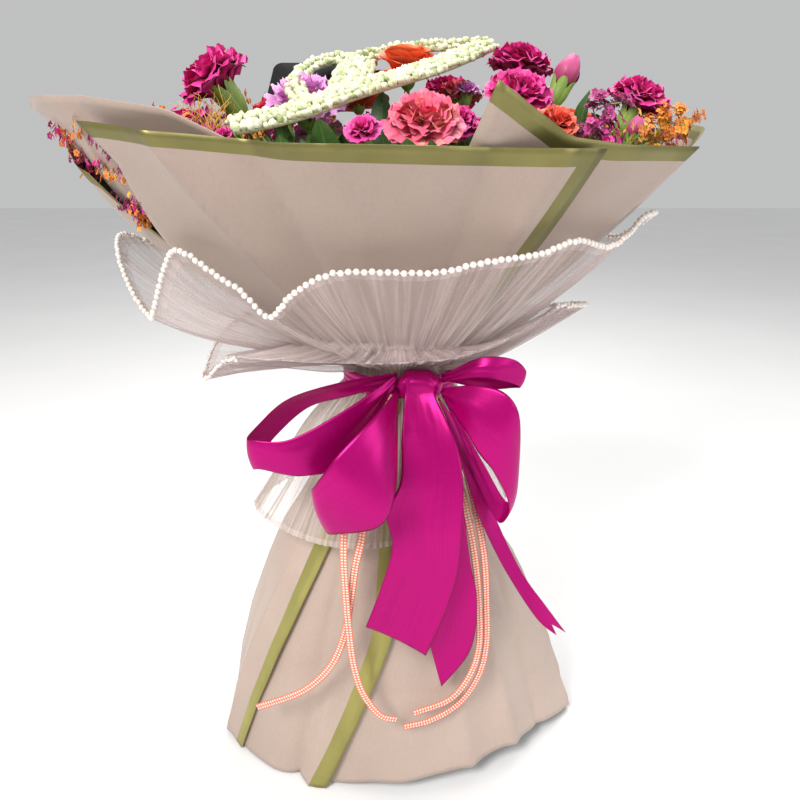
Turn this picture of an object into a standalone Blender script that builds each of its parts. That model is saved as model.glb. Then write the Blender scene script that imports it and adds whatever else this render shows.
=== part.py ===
"""Hand-tied flower bouquet in paper wrap with tulle, pearl edging and a satin bow.

Metres, +Z up, front towards -Y. The bouquet stands on the cut ends of its stems,
inside the flared paper skirt. Angles round the bouquet are in degrees, 270 at the front.
"""

import math
import random

import bmesh
import bpy
from mathutils import Vector

# Driving dimensions
PAPER = 0.0009  # wrapping sheet thickness
TULLE = 0.0008
RIBBON = 0.0009
LAYER = 0.0018  # radial pitch of nested sheets at the tied waist
LOOSE = 1.6  # how much further apart the sheets stand at their edges than at the waist
DROP = 0.0006  # each sheet flares this much lower than the one inside it
WAIST_LOW, WAIST_HIGH = 0.360, 0.384  # the upright zone where everything is tied
WRAP_RX, WRAP_RY = 0.0282, 0.0252  # innermost upper sheet at the waist
RIM_RX, RIM_BACK, RIM_FRONT = 0.228, 0.150, 0.160  # rim half-width, depth to the back and the front
RIM_SHIFT = -0.012  # the rim reaches further out on the left
FLARE = 1.25  # exponent of rim height against radius
BELLY = [(0, 0), (140, 0.1), (170, 0.9), (216, 1.0), (240, 0.2), (255, 0), (360, 0)]  # fuller on the left
SKIRT_RX, SKIRT_RY = 0.0352, 0.0322
HEM_RX, HEM_RY = 0.162, 0.102
HEM_CLEAR = 0.001
STEM_R, STEM_BUNDLE_R = 0.0021, 0.0198
GROUND_SPREAD = 2.6  # how far the stems spread from the tie down to the cut ends
SPIRAL = math.radians(38)
GAP = 0.0004
# Half-width and half-depth of each layer of tulle, and of the satin band, where they are tied
COLLAR_TIE, UNDER_TIE = (0.0424, 0.0396), (0.0441, 0.0413)
FLOUNCE_TIE, BAND_TIE = (0.0457, 0.0429), (0.0473, 0.0445)
PEARL_R = 0.0021

# Rim height by angle, then top edge of each upper sheet as a share of the wrap's length
RIM_Z = [(0, 0.547), (45, 0.552), (90, 0.556), (135, 0.560), (180, 0.564), (225, 0.562),
         (257, 0.550), (296, 0.547), (360, 0.547)]
UPPER_SHEETS = {
    "wrap_back": dict(layer=0, left=[(0, 195)], right=[(0, -12)],
                      top=[(-12, 1.0), (0, 1.07), (9, 1.08), (25, 1.02), (60, 0.99), (90, 1.01),
                           (130, 0.99), (165, 1.02), (195, 1.0)]),
    "wrap_left": dict(layer=1, left=[(0, 262)], right=[(0, 158)],
                      top=[(158, 0.98), (185, 1.03), (205, 1.07), (229, 1.06), (241, 1.055),
                           (250, 0.99), (262, 0.93)]),
    "wrap_right": dict(layer=1, left=[(0, 418)], right=[(0, 277), (0.8, 281), (1, 284)],
                       top=[(277, 1.15), (284, 1.15), (290, 1.09), (297, 1.03), (307, 1.01),
                            (345, 1.0), (390, 0.99), (418, 0.95)]),
    "wrap_left_outer": dict(layer=2.25, left=[(0, 242)], right=[(0, 146)],
                            top=[(146, 0.96), (180, 0.98), (200, 0.96), (211, 0.92), (215, 0.80),
                                 (219, 0.69), (228, 0.60), (242, 0.5)]),
    "wrap_front": dict(layer=3, left=[(0, 302)], top=[(200, 1.0), (302, 1.0)],
                       right=[(0, 200), (0.4, 208), (0.75, 219), (0.93, 226), (1, 223)]),
}
SKIRT_SHEETS = {
    "skirt_back": dict(layer=0, left=[(0, 200)], right=[(0, -20)]),
    "skirt_right": dict(layer=1, left=[(0, 415)], right=[(0, 255), (0.58, 250), (1, 236)]),
    "skirt_front": dict(layer=2, left=[(0, 275), (0.58, 267), (1, 246)],
                        right=[(0, 215), (0.4, 205), (1, 190)]),
    "skirt_left": dict(layer=3, left=[(0, 238), (0.38, 232), (1, 209)], right=[(0, 148), (1, 150)]),
}
# Skirt radius against depth below the waist, on the right and on the left
SKIRT_RIGHT = [(0, 0), (0.15, 0.05), (0.275, 0.14), (0.4, 0.36), (0.5, 0.54), (0.66, 0.71), (0.82, 0.86),
               (1, 1)]
SKIRT_LEFT = [(0, 0), (0.15, 0.10), (0.275, 0.27), (0.4, 0.48), (0.5, 0.60), (0.66, 0.77), (0.82, 0.90),
              (1, 1)]
HEM_Z = [(0, 0.004), (45, 0.0), (120, 0.003), (165, 0.0), (190, 0.004), (208, 0.001), (246, 0.0),
         (262, 0.010), (283, 0.016), (307, 0.021), (335, 0.012), (360, 0.004)]

# Edge of the tulle collar, right round, as (x, y, z)
COLLAR_EDGE = [
    (0.203, 0.010, 0.497), (0.176, -0.042, 0.499), (0.155, -0.074, 0.490), (0.136, -0.094, 0.485),
    (0.110, -0.117, 0.492), (0.083, -0.133, 0.486), (0.048, -0.146, 0.483), (0.018, -0.151, 0.478),
    (-0.036, -0.151, 0.478), (-0.062, -0.146, 0.466), (-0.081, -0.134, 0.448), (-0.097, -0.130, 0.462),
    (-0.118, -0.122, 0.474), (-0.142, -0.110, 0.485), (-0.156, -0.099, 0.470), (-0.170, -0.088, 0.441),
    (-0.180, -0.070, 0.432), (-0.197, -0.054, 0.448), (-0.213, -0.030, 0.470), (-0.220, 0.000, 0.482),
    (-0.205, 0.040, 0.470), (-0.185, 0.075, 0.485), (-0.150, 0.095, 0.470), (-0.110, 0.120, 0.485),
    (-0.060, 0.132, 0.470), (-0.010, 0.143, 0.484), (0.040, 0.138, 0.470), (0.090, 0.130, 0.485),
    (0.130, 0.105, 0.470), (0.165, 0.080, 0.486), (0.185, 0.050, 0.474)]

# Height of the second tulle tier's edge, by angle
UNDER_RIM = [(-42, 0.440), (-15, 0.432), (10, 0.424), (45, 0.408), (75, 0.413), (105, 0.404), (135, 0.418),
             (160, 0.396), (180, 0.372), (192, 0.380), (204, 0.396), (216, 0.403), (222, 0.402)]

# Ribbon edges: two rows of points, each (x, y, z)
RIBBONS = {
    "bow_tail_front": (
        [(0.004, -0.0680, 0.370), (0.001, -0.090, 0.345), (0.000, -0.101, 0.314), (-0.010, -0.107, 0.290),
         (-0.006, -0.110, 0.263), (-0.016, -0.114, 0.225), (-0.027, -0.118, 0.194)],
        [(0.027, -0.0680, 0.370), (0.042, -0.090, 0.342), (0.047, -0.103, 0.313), (0.047, -0.108, 0.278),
         (0.045, -0.109, 0.239), (0.035, -0.111, 0.198), (0.021, -0.114, 0.162)]),
    "bow_tail_back": (
        [(0.005, -0.0610, 0.3629), (0.008, -0.079, 0.338), (0.009, -0.093, 0.294), (0.011, -0.097, 0.243),
         (0.013, -0.100, 0.206), (0.016, -0.102, 0.183), (0.025, -0.104, 0.164)],
        [(0.026, -0.0610, 0.3629), (0.043, -0.076, 0.336), (0.049, -0.088, 0.290), (0.056, -0.093, 0.239),
         (0.063, -0.095, 0.201), (0.059, -0.099, 0.154), (0.035, -0.106, 0.122)]),
    "bow_tail_side": (
        [(0.030, -0.0570, 0.3629), (0.043, -0.062, 0.332), (0.053, -0.072, 0.301), (0.064, -0.078, 0.269),
         (0.087, -0.083, 0.222), (0.115, -0.085, 0.176), (0.134, -0.084, 0.157)],
        [(0.0305, -0.0530, 0.3629), (0.053, -0.056, 0.330), (0.066, -0.064, 0.298), (0.078, -0.070, 0.265),
         (0.101, -0.076, 0.217), (0.124, -0.080, 0.184), (0.143, -0.081, 0.157)]),
    "bow_loop_left": (
        [(-0.0026, -0.0525, 0.384), (-0.048, -0.066, 0.378), (-0.083, -0.074, 0.368), (-0.106, -0.080, 0.352),
         (-0.115, -0.088, 0.345), (-0.107, -0.096, 0.348), (-0.080, -0.098, 0.353), (-0.040, -0.083, 0.368),
         (-0.0026, -0.0585, 0.384)],
        [(-0.0026, -0.0525, 0.3755), (-0.040, -0.062, 0.351), (-0.073, -0.068, 0.331), (-0.102, -0.078, 0.316),
         (-0.112, -0.088, 0.318), (-0.104, -0.097, 0.326), (-0.072, -0.099, 0.320), (-0.040, -0.087, 0.320),
         (-0.0026, -0.0585, 0.3765)]),
    "bow_loop_low": (
        [(-0.0024, -0.0590, 0.3735), (-0.018, -0.092, 0.354), (-0.040, -0.103, 0.336), (-0.058, -0.110, 0.322),
         (-0.064, -0.116, 0.314), (-0.056, -0.128, 0.318), (-0.030, -0.133, 0.336), (-0.010, -0.114, 0.360),
         (-0.0024, -0.0630, 0.3735)],
        [(-0.0024, -0.0590, 0.3660), (-0.008, -0.092, 0.330), (-0.018, -0.101, 0.306), (-0.042, -0.107, 0.283),
         (-0.054, -0.112, 0.279), (-0.046, -0.126, 0.284), (-0.014, -0.134, 0.294), (-0.003, -0.119, 0.318),
         (-0.0024, -0.0630, 0.3660)]),
    "bow_loop_right": (
        [(0.0326, -0.060, 0.384), (0.058, -0.076, 0.403), (0.083, -0.076, 0.402), (0.095, -0.071, 0.391),
         (0.088, -0.063, 0.386), (0.063, -0.061, 0.388), (0.0326, -0.053, 0.383)],
        [(0.0326, -0.060, 0.378), (0.058, -0.080, 0.389), (0.077, -0.080, 0.386), (0.090, -0.071, 0.379),
         (0.083, -0.062, 0.374), (0.062, -0.059, 0.373), (0.0326, -0.053, 0.378)]),
    "bow_loop_drop": (
        [(0.0326, -0.0645, 0.3755), (0.054, -0.088, 0.386), (0.073, -0.098, 0.386), (0.086, -0.102, 0.374),
         (0.092, -0.098, 0.343), (0.090, -0.088, 0.303), (0.084, -0.076, 0.280), (0.068, -0.067, 0.306),
         (0.045, -0.062, 0.350), (0.0326, -0.056, 0.3735)],
        [(0.0326, -0.0645, 0.3675), (0.046, -0.092, 0.356), (0.056, -0.102, 0.335), (0.066, -0.105, 0.318),
         (0.076, -0.100, 0.296), (0.081, -0.090, 0.276), (0.077, -0.078, 0.264), (0.062, -0.070, 0.294),
         (0.044, -0.066, 0.344), (0.0326, -0.056, 0.3665)]),
}
NARROW_RIBBONS = ("bow_tail_side", "bow_loop_right")
THIN_RIBBON_W = 0.006
THIN_RIBBONS = {
    "stitched_ribbon_left": [
        (-0.003, -0.116, 0.096), (-0.017, -0.117, 0.102), (-0.031, -0.115, 0.124), (-0.038, -0.112, 0.150),
        (-0.041, -0.110, 0.180), (-0.043, -0.107, 0.216), (-0.044, -0.102, 0.255), (-0.042, -0.088, 0.280),
        (-0.036, -0.066, 0.315), (-0.024, -0.050, 0.338), (-0.016, -0.0453, 0.355), (-0.010, -0.0480, 0.3625),
        (-0.004, -0.0490, 0.355), (-0.010, -0.0525, 0.338), (-0.020, -0.068, 0.315), (-0.027, -0.088, 0.283),
        (-0.030, -0.098, 0.262), (-0.035, -0.102, 0.240), (-0.040, -0.104, 0.206), (-0.047, -0.106, 0.170),
        (-0.060, -0.108, 0.142), (-0.084, -0.107, 0.117), (-0.124, -0.101, 0.094)],
    "stitched_ribbon_right": [
        (0.012, -0.112, 0.099), (0.043, -0.103, 0.105), (0.060, -0.095, 0.124), (0.067, -0.091, 0.150),
        (0.066, -0.088, 0.188), (0.062, -0.084, 0.228), (0.056, -0.078, 0.262), (0.046, -0.062, 0.300),
        (0.032, -0.0497, 0.335), (0.022, -0.0446, 0.353), (0.0255, -0.0428, 0.3605), (0.031, -0.0408, 0.353),
        (0.042, -0.0437, 0.335), (0.054, -0.0525, 0.300), (0.064, -0.073, 0.262), (0.070, -0.079, 0.228),
        (0.073, -0.081, 0.188), (0.074, -0.086, 0.148), (0.068, -0.090, 0.118), (0.052, -0.096, 0.094),
        (0.028, -0.104, 0.083), (0.003, -0.109, 0.080)],
}

# Garland band: centre line of each arm as (x, y), on a plane sloping up to the back
GARLAND_PLANE = (0.06, 0.30, 0.6045)
GARLAND_W, GARLAND_T = (0.021, 0.015, 0.015, 0.014), 0.0022
GARLAND_ARMS = [
    [(-0.094, -0.137), (-0.076, -0.128), (-0.058, -0.112), (-0.035, -0.082), (-0.006, -0.053), (0.022, -0.025),
     (0.046, 0.008), (0.066, 0.040)],
    [(-0.035, -0.082), (-0.036, -0.055), (-0.037, -0.025), (-0.040, 0.004), (-0.052, 0.024), (-0.066, 0.012),
     (-0.078, -0.012), (-0.081, -0.040), (-0.074, -0.072), (-0.058, -0.112)],
    [(-0.040, 0.004), (-0.022, 0.030), (0.004, 0.046), (0.034, 0.048), (0.066, 0.040)],
    [(-0.037, -0.025), (-0.014, -0.012), (0.010, 0.004), (0.028, 0.026), (0.034, 0.048)],
]
CARD_CORNER, CARD_W, CARD_H, CARD_T, CARD_ROUND = (-0.097, 0.031, 0.6086), 0.058, 0.042, 0.0012, 0.006

# Blooms: kind, centre x, y, z, radius, lean of the axis to +x and to +y
MAGENTA, CORAL, ORANGE, LILAC, CORAL_RED = "magenta", "coral", "orange", "lilac", "coral_red"
BLOOMS = [
    ("carnation", MAGENTA, -0.122, -0.052, 0.588, 0.0265, -0.75, -0.15),
    ("carnation", MAGENTA, 0.088, 0.004, 0.601, 0.0255, 0.15, 0.05),
    ("carnation", MAGENTA, 0.080, -0.051, 0.577, 0.0260, 0.2, -0.45),
    ("carnation", MAGENTA, 0.170, -0.022, 0.576, 0.0250, 0.45, -0.1),
    ("carnation", MAGENTA, 0.040, -0.030, 0.562, 0.0185, 0.15, -0.5),
    ("carnation", MAGENTA, 0.042, 0.092, 0.586, 0.0255, 0.1, 0.3),
    ("carnation", MAGENTA, -0.008, 0.121, 0.562, 0.0230, 0.0, 0.7),
    ("carnation", MAGENTA, -0.164, 0.004, 0.556, 0.0245, -0.7, 0.1),
    ("carnation", MAGENTA, -0.188, 0.042, 0.554, 0.0195, -0.6, 0.3),
    ("carnation", CORAL, 0.015, -0.078, 0.560, 0.0275, 0.0, -0.55),
    ("carnation", CORAL, -0.102, 0.062, 0.570, 0.0260, -0.4, 0.3),
    ("carnation", CORAL, 0.090, 0.106, 0.562, 0.0225, 0.3, 0.6),
    ("carnation", CORAL, 0.047, 0.042, 0.584, 0.0200, 0.0, 0.1),
    ("rose", ORANGE, 0.004, 0.002, 0.5845, 0.0240, 0.0, -0.1),
    ("rose", ORANGE, -0.036, 0.078, 0.586, 0.0240, -0.1, 0.25),
    ("rose", ORANGE, 0.152, 0.076, 0.560, 0.0235, 0.5, 0.4),
    ("rose", ORANGE, -0.136, 0.088, 0.556, 0.0210, -0.5, 0.5),
    ("mum", LILAC, -0.062, -0.047, 0.5667, 0.0275, -0.2, -0.35),
    ("mum", LILAC, 0.104, 0.058, 0.582, 0.0245, 0.3, 0.2),
    ("mum", LILAC, -0.074, 0.110, 0.557, 0.0240, -0.3, 0.6),
    ("small_carnation", MAGENTA, -0.022, -0.114, 0.556, 0.0135, -0.1, -0.6),
    ("small_carnation", MAGENTA, -0.108, -0.104, 0.553, 0.0090, -0.4, -0.5),
    ("small_carnation", CORAL_RED, 0.098, -0.092, 0.561, 0.0155, 0.3, -0.5),
    ("small_carnation", LILAC, 0.050, -0.002, 0.586, 0.0105, 0.1, -0.2),
    ("bud", MAGENTA, 0.119, -0.020, 0.598, 0.0090, 0.15, 0.0),
    ("bud", MAGENTA, 0.150, -0.086, 0.560, 0.0055, 0.2, -0.3),
]
# Filler sprays: colour, foot x, y, z, then the way they grow
SPRAYS = [
    ("plum", 0.122, -0.064, 0.540, 0.25, -0.45, 1.0),
    ("plum", -0.166, -0.050, 0.517, -0.9, -0.5, 1.0),
    ("amber", 0.155, -0.050, 0.535, 0.7, -0.45, 1.0),
    ("amber", 0.186, -0.006, 0.535, 0.7, -0.15, 1.0),
    ("amber", -0.172, -0.026, 0.520, -0.9, -0.15, 0.9),
    ("gold", -0.120, -0.080, 0.545, -0.2, -0.3, 1.0),
]
LEAVES = [(0.060, -0.096, 0.552, 0.5, -0.6), (-0.042, -0.112, 0.538, -0.2, -0.7),
          (-0.016, 0.040, 0.560, 0.1, 0.2), (0.140, 0.024, 0.560, 0.3, 0.1)]

COLOURS = {
    MAGENTA: (0.62, 0.010, 0.18, 0.55), CORAL: (0.85, 0.16, 0.14, 0.55), ORANGE: (0.85, 0.10, 0.02, 0.50),
    LILAC: (0.55, 0.21, 0.56, 0.55), CORAL_RED: (0.78, 0.06, 0.04, 0.55), "plum": (0.34, 0.02, 0.14, 0.65),
    "amber": (0.83, 0.26, 0.03, 0.65), "gold": (0.60, 0.42, 0.06, 0.65), "wrap": (0.40, 0.31, 0.26, 0.62),
    "skirt": (0.52, 0.41, 0.34, 0.62), "tulle": (0.62, 0.52, 0.48, 0.75), "pearl": (0.86, 0.80, 0.74, 0.22),
    "satin": (0.58, 0.0, 0.20, 0.34), "stitched": (0.82, 0.20, 0.11, 0.60), "garland": (0.82, 0.86, 0.62, 0.80),
    "card": (0.006, 0.006, 0.008, 0.40), "stem": (0.13, 0.25, 0.06, 0.60), "tape": (0.10, 0.20, 0.07, 0.55),
}


def clear_scene():
    for obj in list(bpy.data.objects):
        bpy.data.objects.remove(obj)


def material(key):
    if key in bpy.data.materials:
        return bpy.data.materials[key]
    made = bpy.data.materials.new(key)
    made.use_nodes = True
    shader = made.node_tree.nodes["Principled BSDF"]
    r, g, b, rough = COLOURS[key]
    shader.inputs["Base Color"].default_value = (r, g, b, 1)
    shader.inputs["Roughness"].default_value = rough
    shader.inputs["Metallic"].default_value = 0.0
    return made


def add(name, verts, faces, colour):
    """One closed body, faces out."""
    mesh = bpy.data.meshes.new(name)
    mesh.from_pydata([tuple(v) for v in verts], [], faces)
    mesh.materials.append(material(colour))
    bm = bmesh.new()
    bm.from_mesh(mesh)
    bmesh.ops.recalc_face_normals(bm, faces=bm.faces)
    if bm.calc_volume(signed=True) < 0:
        bmesh.ops.reverse_faces(bm, faces=bm.faces)
    bmesh.ops.triangulate(bm, faces=bm.faces)
    bm.to_mesh(mesh)
    bm.free()
    obj = bpy.data.objects.new(name, mesh)
    bpy.context.scene.collection.objects.link(obj)
    return obj


def table(points, x):
    """Straight-line value between points of a table."""
    if x <= points[0][0]:
        return points[0][1]
    for (x0, y0), (x1, y1) in zip(points, points[1:]):
        if x <= x1:
            return y0 + (y1 - y0) * (x - x0) / (x1 - x0)
    return points[-1][1]


def spline(points, steps, closed=False):
    """Catmull-Rom curve through the points, with this many steps in each span."""
    p = [Vector(q) for q in points]
    n = len(p)
    at = (lambda i: p[i % n]) if closed else (lambda i: p[min(max(i, 0), n - 1)])
    out = []
    for i in range(n if closed else n - 1):
        a, b, c, d = at(i - 1), at(i), at(i + 1), at(i + 2)
        for k in range(steps):
            t = k / steps
            out.append(0.5 * (2 * b + (c - a) * t + (2 * a - 5 * b + 4 * c - d) * t * t
                              + (3 * b - a - 3 * c + d) * t ** 3))
    if not closed:
        out.append(p[-1])
    return out


def sheet(name, rows, thick, colour, ring=False):
    """Thickens a grid of points to a closed sheet. In a ring, the columns join up."""
    nr, nc = len(rows), len(rows[0])
    top, low = [], []
    for i in range(nr):
        for j in range(nc):
            up, down = rows[max(i - 1, 0)][j], rows[min(i + 1, nr - 1)][j]
            if ring:
                before, after = rows[i][(j - 1) % nc], rows[i][(j + 1) % nc]
            else:
                before, after = rows[i][max(j - 1, 0)], rows[i][min(j + 1, nc - 1)]
            normal = (down - up).cross(after - before).normalized() * thick / 2
            top.append(rows[i][j] + normal)
            low.append(rows[i][j] - normal)
    verts, base, faces = top + low, nr * nc, []
    last = nc if ring else nc - 1
    for i in range(nr - 1):
        for j in range(last):
            a, b = i * nc + j, i * nc + (j + 1) % nc
            c, d = b + nc, a + nc
            faces += [(a, b, c, d), (base + d, base + c, base + b, base + a)]
    rim = [(j, (j + 1) % nc) for j in range(last)]
    rim += [((nr - 1) * nc + (j + 1) % nc, (nr - 1) * nc + j) for j in range(last)]
    if not ring:
        rim += [((i + 1) * nc, i * nc) for i in range(nr - 1)]
        rim += [(i * nc + nc - 1, (i + 1) * nc + nc - 1) for i in range(nr - 1)]
    faces += [(b, a, base + a, base + b) for a, b in rim]
    return add(name, verts, faces, colour)


def rise_share(s, angle):
    """Share of the rise reached at this share of the way out."""
    return s ** FLARE - table(BELLY, angle % 360) * max(0, s ** 3 * (1 - s))


def wrap_point(angle, s, out):
    """A point of the upper wrap: s is 0 at the waist, 1 at the rim; out is a radial offset."""
    t, drop = math.radians(angle), DROP * out / LAYER
    out *= 1 + LOOSE * min(1, 4 * s)
    depth = (RIM_BACK + RIM_FRONT) / 2 - (RIM_FRONT - RIM_BACK) / 2 * math.sin(t)
    ripple = 0.0022 * s * s * math.sin(7 * t + 0.6)
    rx = WRAP_RX + out + s * (RIM_RX - WRAP_RX) + ripple
    ry = WRAP_RY + out + s * (depth - WRAP_RY) + ripple
    z = WAIST_HIGH + (table(RIM_Z, angle % 360) - WAIST_HIGH) * rise_share(s, angle) - drop * (1 - min(s, 1))
    return Vector((RIM_SHIFT * s + rx * math.cos(t), ry * math.sin(t), z))


def columns_of(left, right):
    """Enough columns for a step of about 13 degrees."""
    return 1 + math.ceil((left[0][1] - right[0][1]) / 13)


def upper_sheet(name, layer, left, right, top, rows=6):
    out, columns = layer * LAYER, columns_of(left, right)
    grid = []
    for i in range(-1, rows):
        s = max(i, 0) / (rows - 1)
        line = []
        for j in range(columns):
            a0, a1 = table(right, s), table(left, s)
            angle = a0 + (a1 - a0) * j / (columns - 1)
            point = wrap_point(angle, s * (1 + (table(top, angle) - 1) * s), out)
            if i < 0:
                point.z = WAIST_LOW + 0.001
            line.append(point)
        grid.append(line)
    sheet(name, grid, PAPER, "wrap")


def skirt_point(angle, w, out):
    """A point of the paper skirt: w is 0 at the waist and 1 at the hem."""
    t = math.radians(angle)
    out *= 1 + LOOSE * min(1, 4 * w)
    side = (1 + math.cos(t)) / 2
    f = side * table(SKIRT_RIGHT, w) + (1 - side) * table(SKIRT_LEFT, w)
    ripple = 0.003 * w * w * math.sin(5 * t + 2.0)
    rx = SKIRT_RX + out + f * (HEM_RX - SKIRT_RX) + ripple
    ry = SKIRT_RY + out + f * (HEM_RY - SKIRT_RY) + ripple
    hem = HEM_CLEAR + table(HEM_Z, angle % 360)
    if math.sin(t) < 0:
        ry *= 1 - (0.22 if math.cos(t) > 0 else 0.08) * math.cos(t) * w
    return Vector((0.002 * w + rx * math.cos(t), ry * math.sin(t), WAIST_LOW - (WAIST_LOW - hem) * w))


def skirt_sheet(name, layer, left, right, rows=6):
    out, columns = layer * LAYER, columns_of(left, right)
    grid = []
    for i in range(-1, rows):
        w = max(i, 0) / (rows - 1)
        line = []
        for j in range(columns):
            a0, a1 = table(right, w), table(left, w)
            point = skirt_point(a0 + (a1 - a0) * j / (columns - 1), w, out)
            if i < 0:
                point.z = WAIST_HIGH - 0.002
            line.append(point)
        grid.append(line)
    sheet(name, grid, PAPER, "skirt")


def pleat(j, depth):
    return depth if j % 2 else -depth


def tulle_collar():
    edge = spline(COLLAR_EDGE, 2, closed=True)
    rows = [[], [], [], [], []]
    for j, point in enumerate(edge):
        t = math.atan2(point.y / 0.76, point.x)
        out = Vector((math.cos(t), math.sin(t), 0))
        for k, z in ((0, WAIST_LOW + 0.002), (1, WAIST_HIGH - 0.003)):
            rows[k].append(Vector((COLLAR_TIE[0] * out.x, COLLAR_TIE[1] * out.y, z)))
        start = Vector((0.056 * out.x, 0.050 * out.y, WAIST_HIGH + 0.0045 + pleat(j, 0.0005)))
        for k, share in ((2, 0.0), (3, 0.42), (4, 1.0)):
            here = start.lerp(point, share)
            here.z = start.z + (point.z - start.z) * rise_share(share, math.degrees(t))
            here.z += pleat(j, 0.0012) * share
            rows[k].append(here)
    sheet("tulle_collar", rows, TULLE, "tulle", ring=True)
    return edge, rows


def pearl_trim(edge, rows):
    """Pearls strung along the collar's edge, standing just off the tulle."""
    count = 66
    away = [(a - b).normalized() for a, b in zip(rows[4], rows[3])]
    path = [p + d * (PEARL_R + GAP + TULLE * 0.7) for p, d in zip(rows[4], away)]
    lengths = [0.0]
    for a, b in zip(path, path[1:] + path[:1]):
        lengths.append(lengths[-1] + (b - a).length)
    rings = []
    for k in range(count * 2):
        want = lengths[-1] * k / (count * 2)
        i = max(n for n in range(len(path)) if lengths[n] <= want)
        share = (want - lengths[i]) / (lengths[i + 1] - lengths[i])
        a, b = path[i], path[(i + 1) % len(path)]
        rings.append((a.lerp(b, share), (b - a).normalized(), PEARL_R if k % 2 else 0.0007))
    verts, faces, n = [], [], 4
    for centre, ahead, radius in rings:
        side = ahead.cross(Vector((0, 0, 1))).normalized()
        up = side.cross(ahead)
        for q in range(n):
            turn = 2 * math.pi * q / n
            verts.append(centre + radius * (math.cos(turn) * side + math.sin(turn) * up))
    total = len(rings)
    for k in range(total):
        for q in range(n):
            a, b = k * n + q, k * n + (q + 1) % n
            c, d = ((k + 1) % total) * n + (q + 1) % n, ((k + 1) % total) * n + q
            faces.append((a, b, c, d))
    add("pearl_trim", verts, faces, "pearl")


def tulle_under():
    """The second tier of tulle below the collar, spread to both sides and open at the front."""
    columns, rows = 29, [[], [], [], []]
    for j in range(columns):
        t = math.radians(-42 + 264 * j / (columns - 1))
        c, s = math.cos(t), math.sin(t)
        left = (1 - c) / 2
        reach = 0.150 + 0.016 * left
        rim = table(UNDER_RIM, math.degrees(t))
        wave = pleat(j, 0.0012)
        for k, z in ((0, WAIST_LOW + 0.002), (1, WAIST_HIGH - 0.006)):
            rows[k].append(Vector((UNDER_TIE[0] * c, UNDER_TIE[1] * s, z)))
        rows[2].append(Vector((0.080 * c, 0.060 * s, 0.3835 + 0.006 * (1 - left) + wave * 0.5)))
        rows[3].append(Vector((reach * c, 0.095 * s, rim + wave)))
    sheet("tulle_under", rows, TULLE, "tulle")


def tulle_flounce():
    """The lower tulle, falling over the top of the skirt."""
    columns, rows = 32, [[], [], [], []]
    for j in range(columns):
        t = 2 * math.pi * j / columns
        c, s = math.cos(t), math.sin(t)
        left = (1 - c) / 2
        wave = pleat(j, 0.0014)
        low = 0.262 - 0.022 * left + 0.004 * math.sin(4 * t)
        for k, z in ((0, WAIST_HIGH - 0.008), (1, WAIST_LOW - 0.001)):
            rows[k].append(Vector((FLOUNCE_TIE[0] * c, FLOUNCE_TIE[1] * s, z)))
        rows[2].append(Vector(((0.068 + 0.018 * left + wave * 0.5) * c, (0.062 + wave * 0.5) * s, 0.312)))
        rows[3].append(Vector(((0.096 + 0.036 * left + wave) * c, (0.088 + wave) * s, low)))
    sheet("tulle_flounce", rows, TULLE, "tulle", ring=True)


def waist_band():
    columns, rows = 24, [[], []]
    for j in range(columns):
        t = 2 * math.pi * j / columns
        for k, (z, bulge) in enumerate(((0.3605, 0), (0.3755, 0.0006))):
            rx, ry = BAND_TIE[0] + bulge, BAND_TIE[1] + bulge
            rows[k].append(Vector((rx * math.cos(t), ry * math.sin(t), z)))
    sheet("waist_band", rows, RIBBON, "satin", ring=True)


def bow_knot():
    """A plump knot: a box with swollen sides."""
    centre, half = Vector((0.015, -0.0559, 0.3745)), Vector((0.0180, 0.0115, 0.0110))
    verts, faces, n = [], [], 8
    for k, (lift, width) in enumerate(((-1, 0.72), (-0.55, 1.0), (0.55, 1.0), (1, 0.72))):
        for q in range(n):
            turn = 2 * math.pi * (q + 0.5) / n
            grow = 1 / max(abs(math.cos(turn)), abs(math.sin(turn)), 0.80)
            x, y = half.x * width * math.cos(turn) * grow * 0.92, half.y * width * math.sin(turn) * grow * 0.92
            verts.append(centre + Vector((x, y, half.z * lift)))
    for k in range(3):
        a, b = k * n, (k + 1) * n
        faces += [(a + q, a + (q + 1) % n, b + (q + 1) % n, b + q) for q in range(n)]
    faces += [tuple(range(n))[::-1], tuple(range(3 * n, 4 * n))]
    add("bow_knot", verts, faces, "satin")


def wide_ribbon(name, edge_a, edge_b):
    """A satin strip between two edges, arched a little across its width unless it is narrow."""
    narrow = name in NARROW_RIBBONS
    a, b = spline(edge_a, 2), spline(edge_b, 2)
    rows = []
    for i in range(len(a)):
        ahead = a[min(i + 1, len(a) - 1)] - a[max(i - 1, 0)]
        across = b[i] - a[i]
        arch = across.cross(ahead).normalized() * 0.05 * across.length
        rows.append([a[i], b[i]] if narrow else [a[i], (a[i] + b[i]) / 2 + arch, b[i]])
    sheet(name, rows, RIBBON, "satin")


def thin_ribbon(name, path):
    line = spline(path, 1)
    rows = []
    for i, p in enumerate(line):
        ahead = (line[min(i + 1, len(line) - 1)] - line[max(i - 1, 0)]).normalized()
        away = Vector((p.x * 0.35, p.y, 0.06 * abs(p.y))).normalized()
        across = ahead.cross(away).normalized() * THIN_RIBBON_W / 2
        rows.append([p - across, p + across])
    sheet(name, rows, RIBBON, "stitched")


def frame_of(axis):
    axis = Vector(axis).normalized()
    side = axis.orthogonal().normalized()
    return side, axis.cross(side), axis


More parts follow.
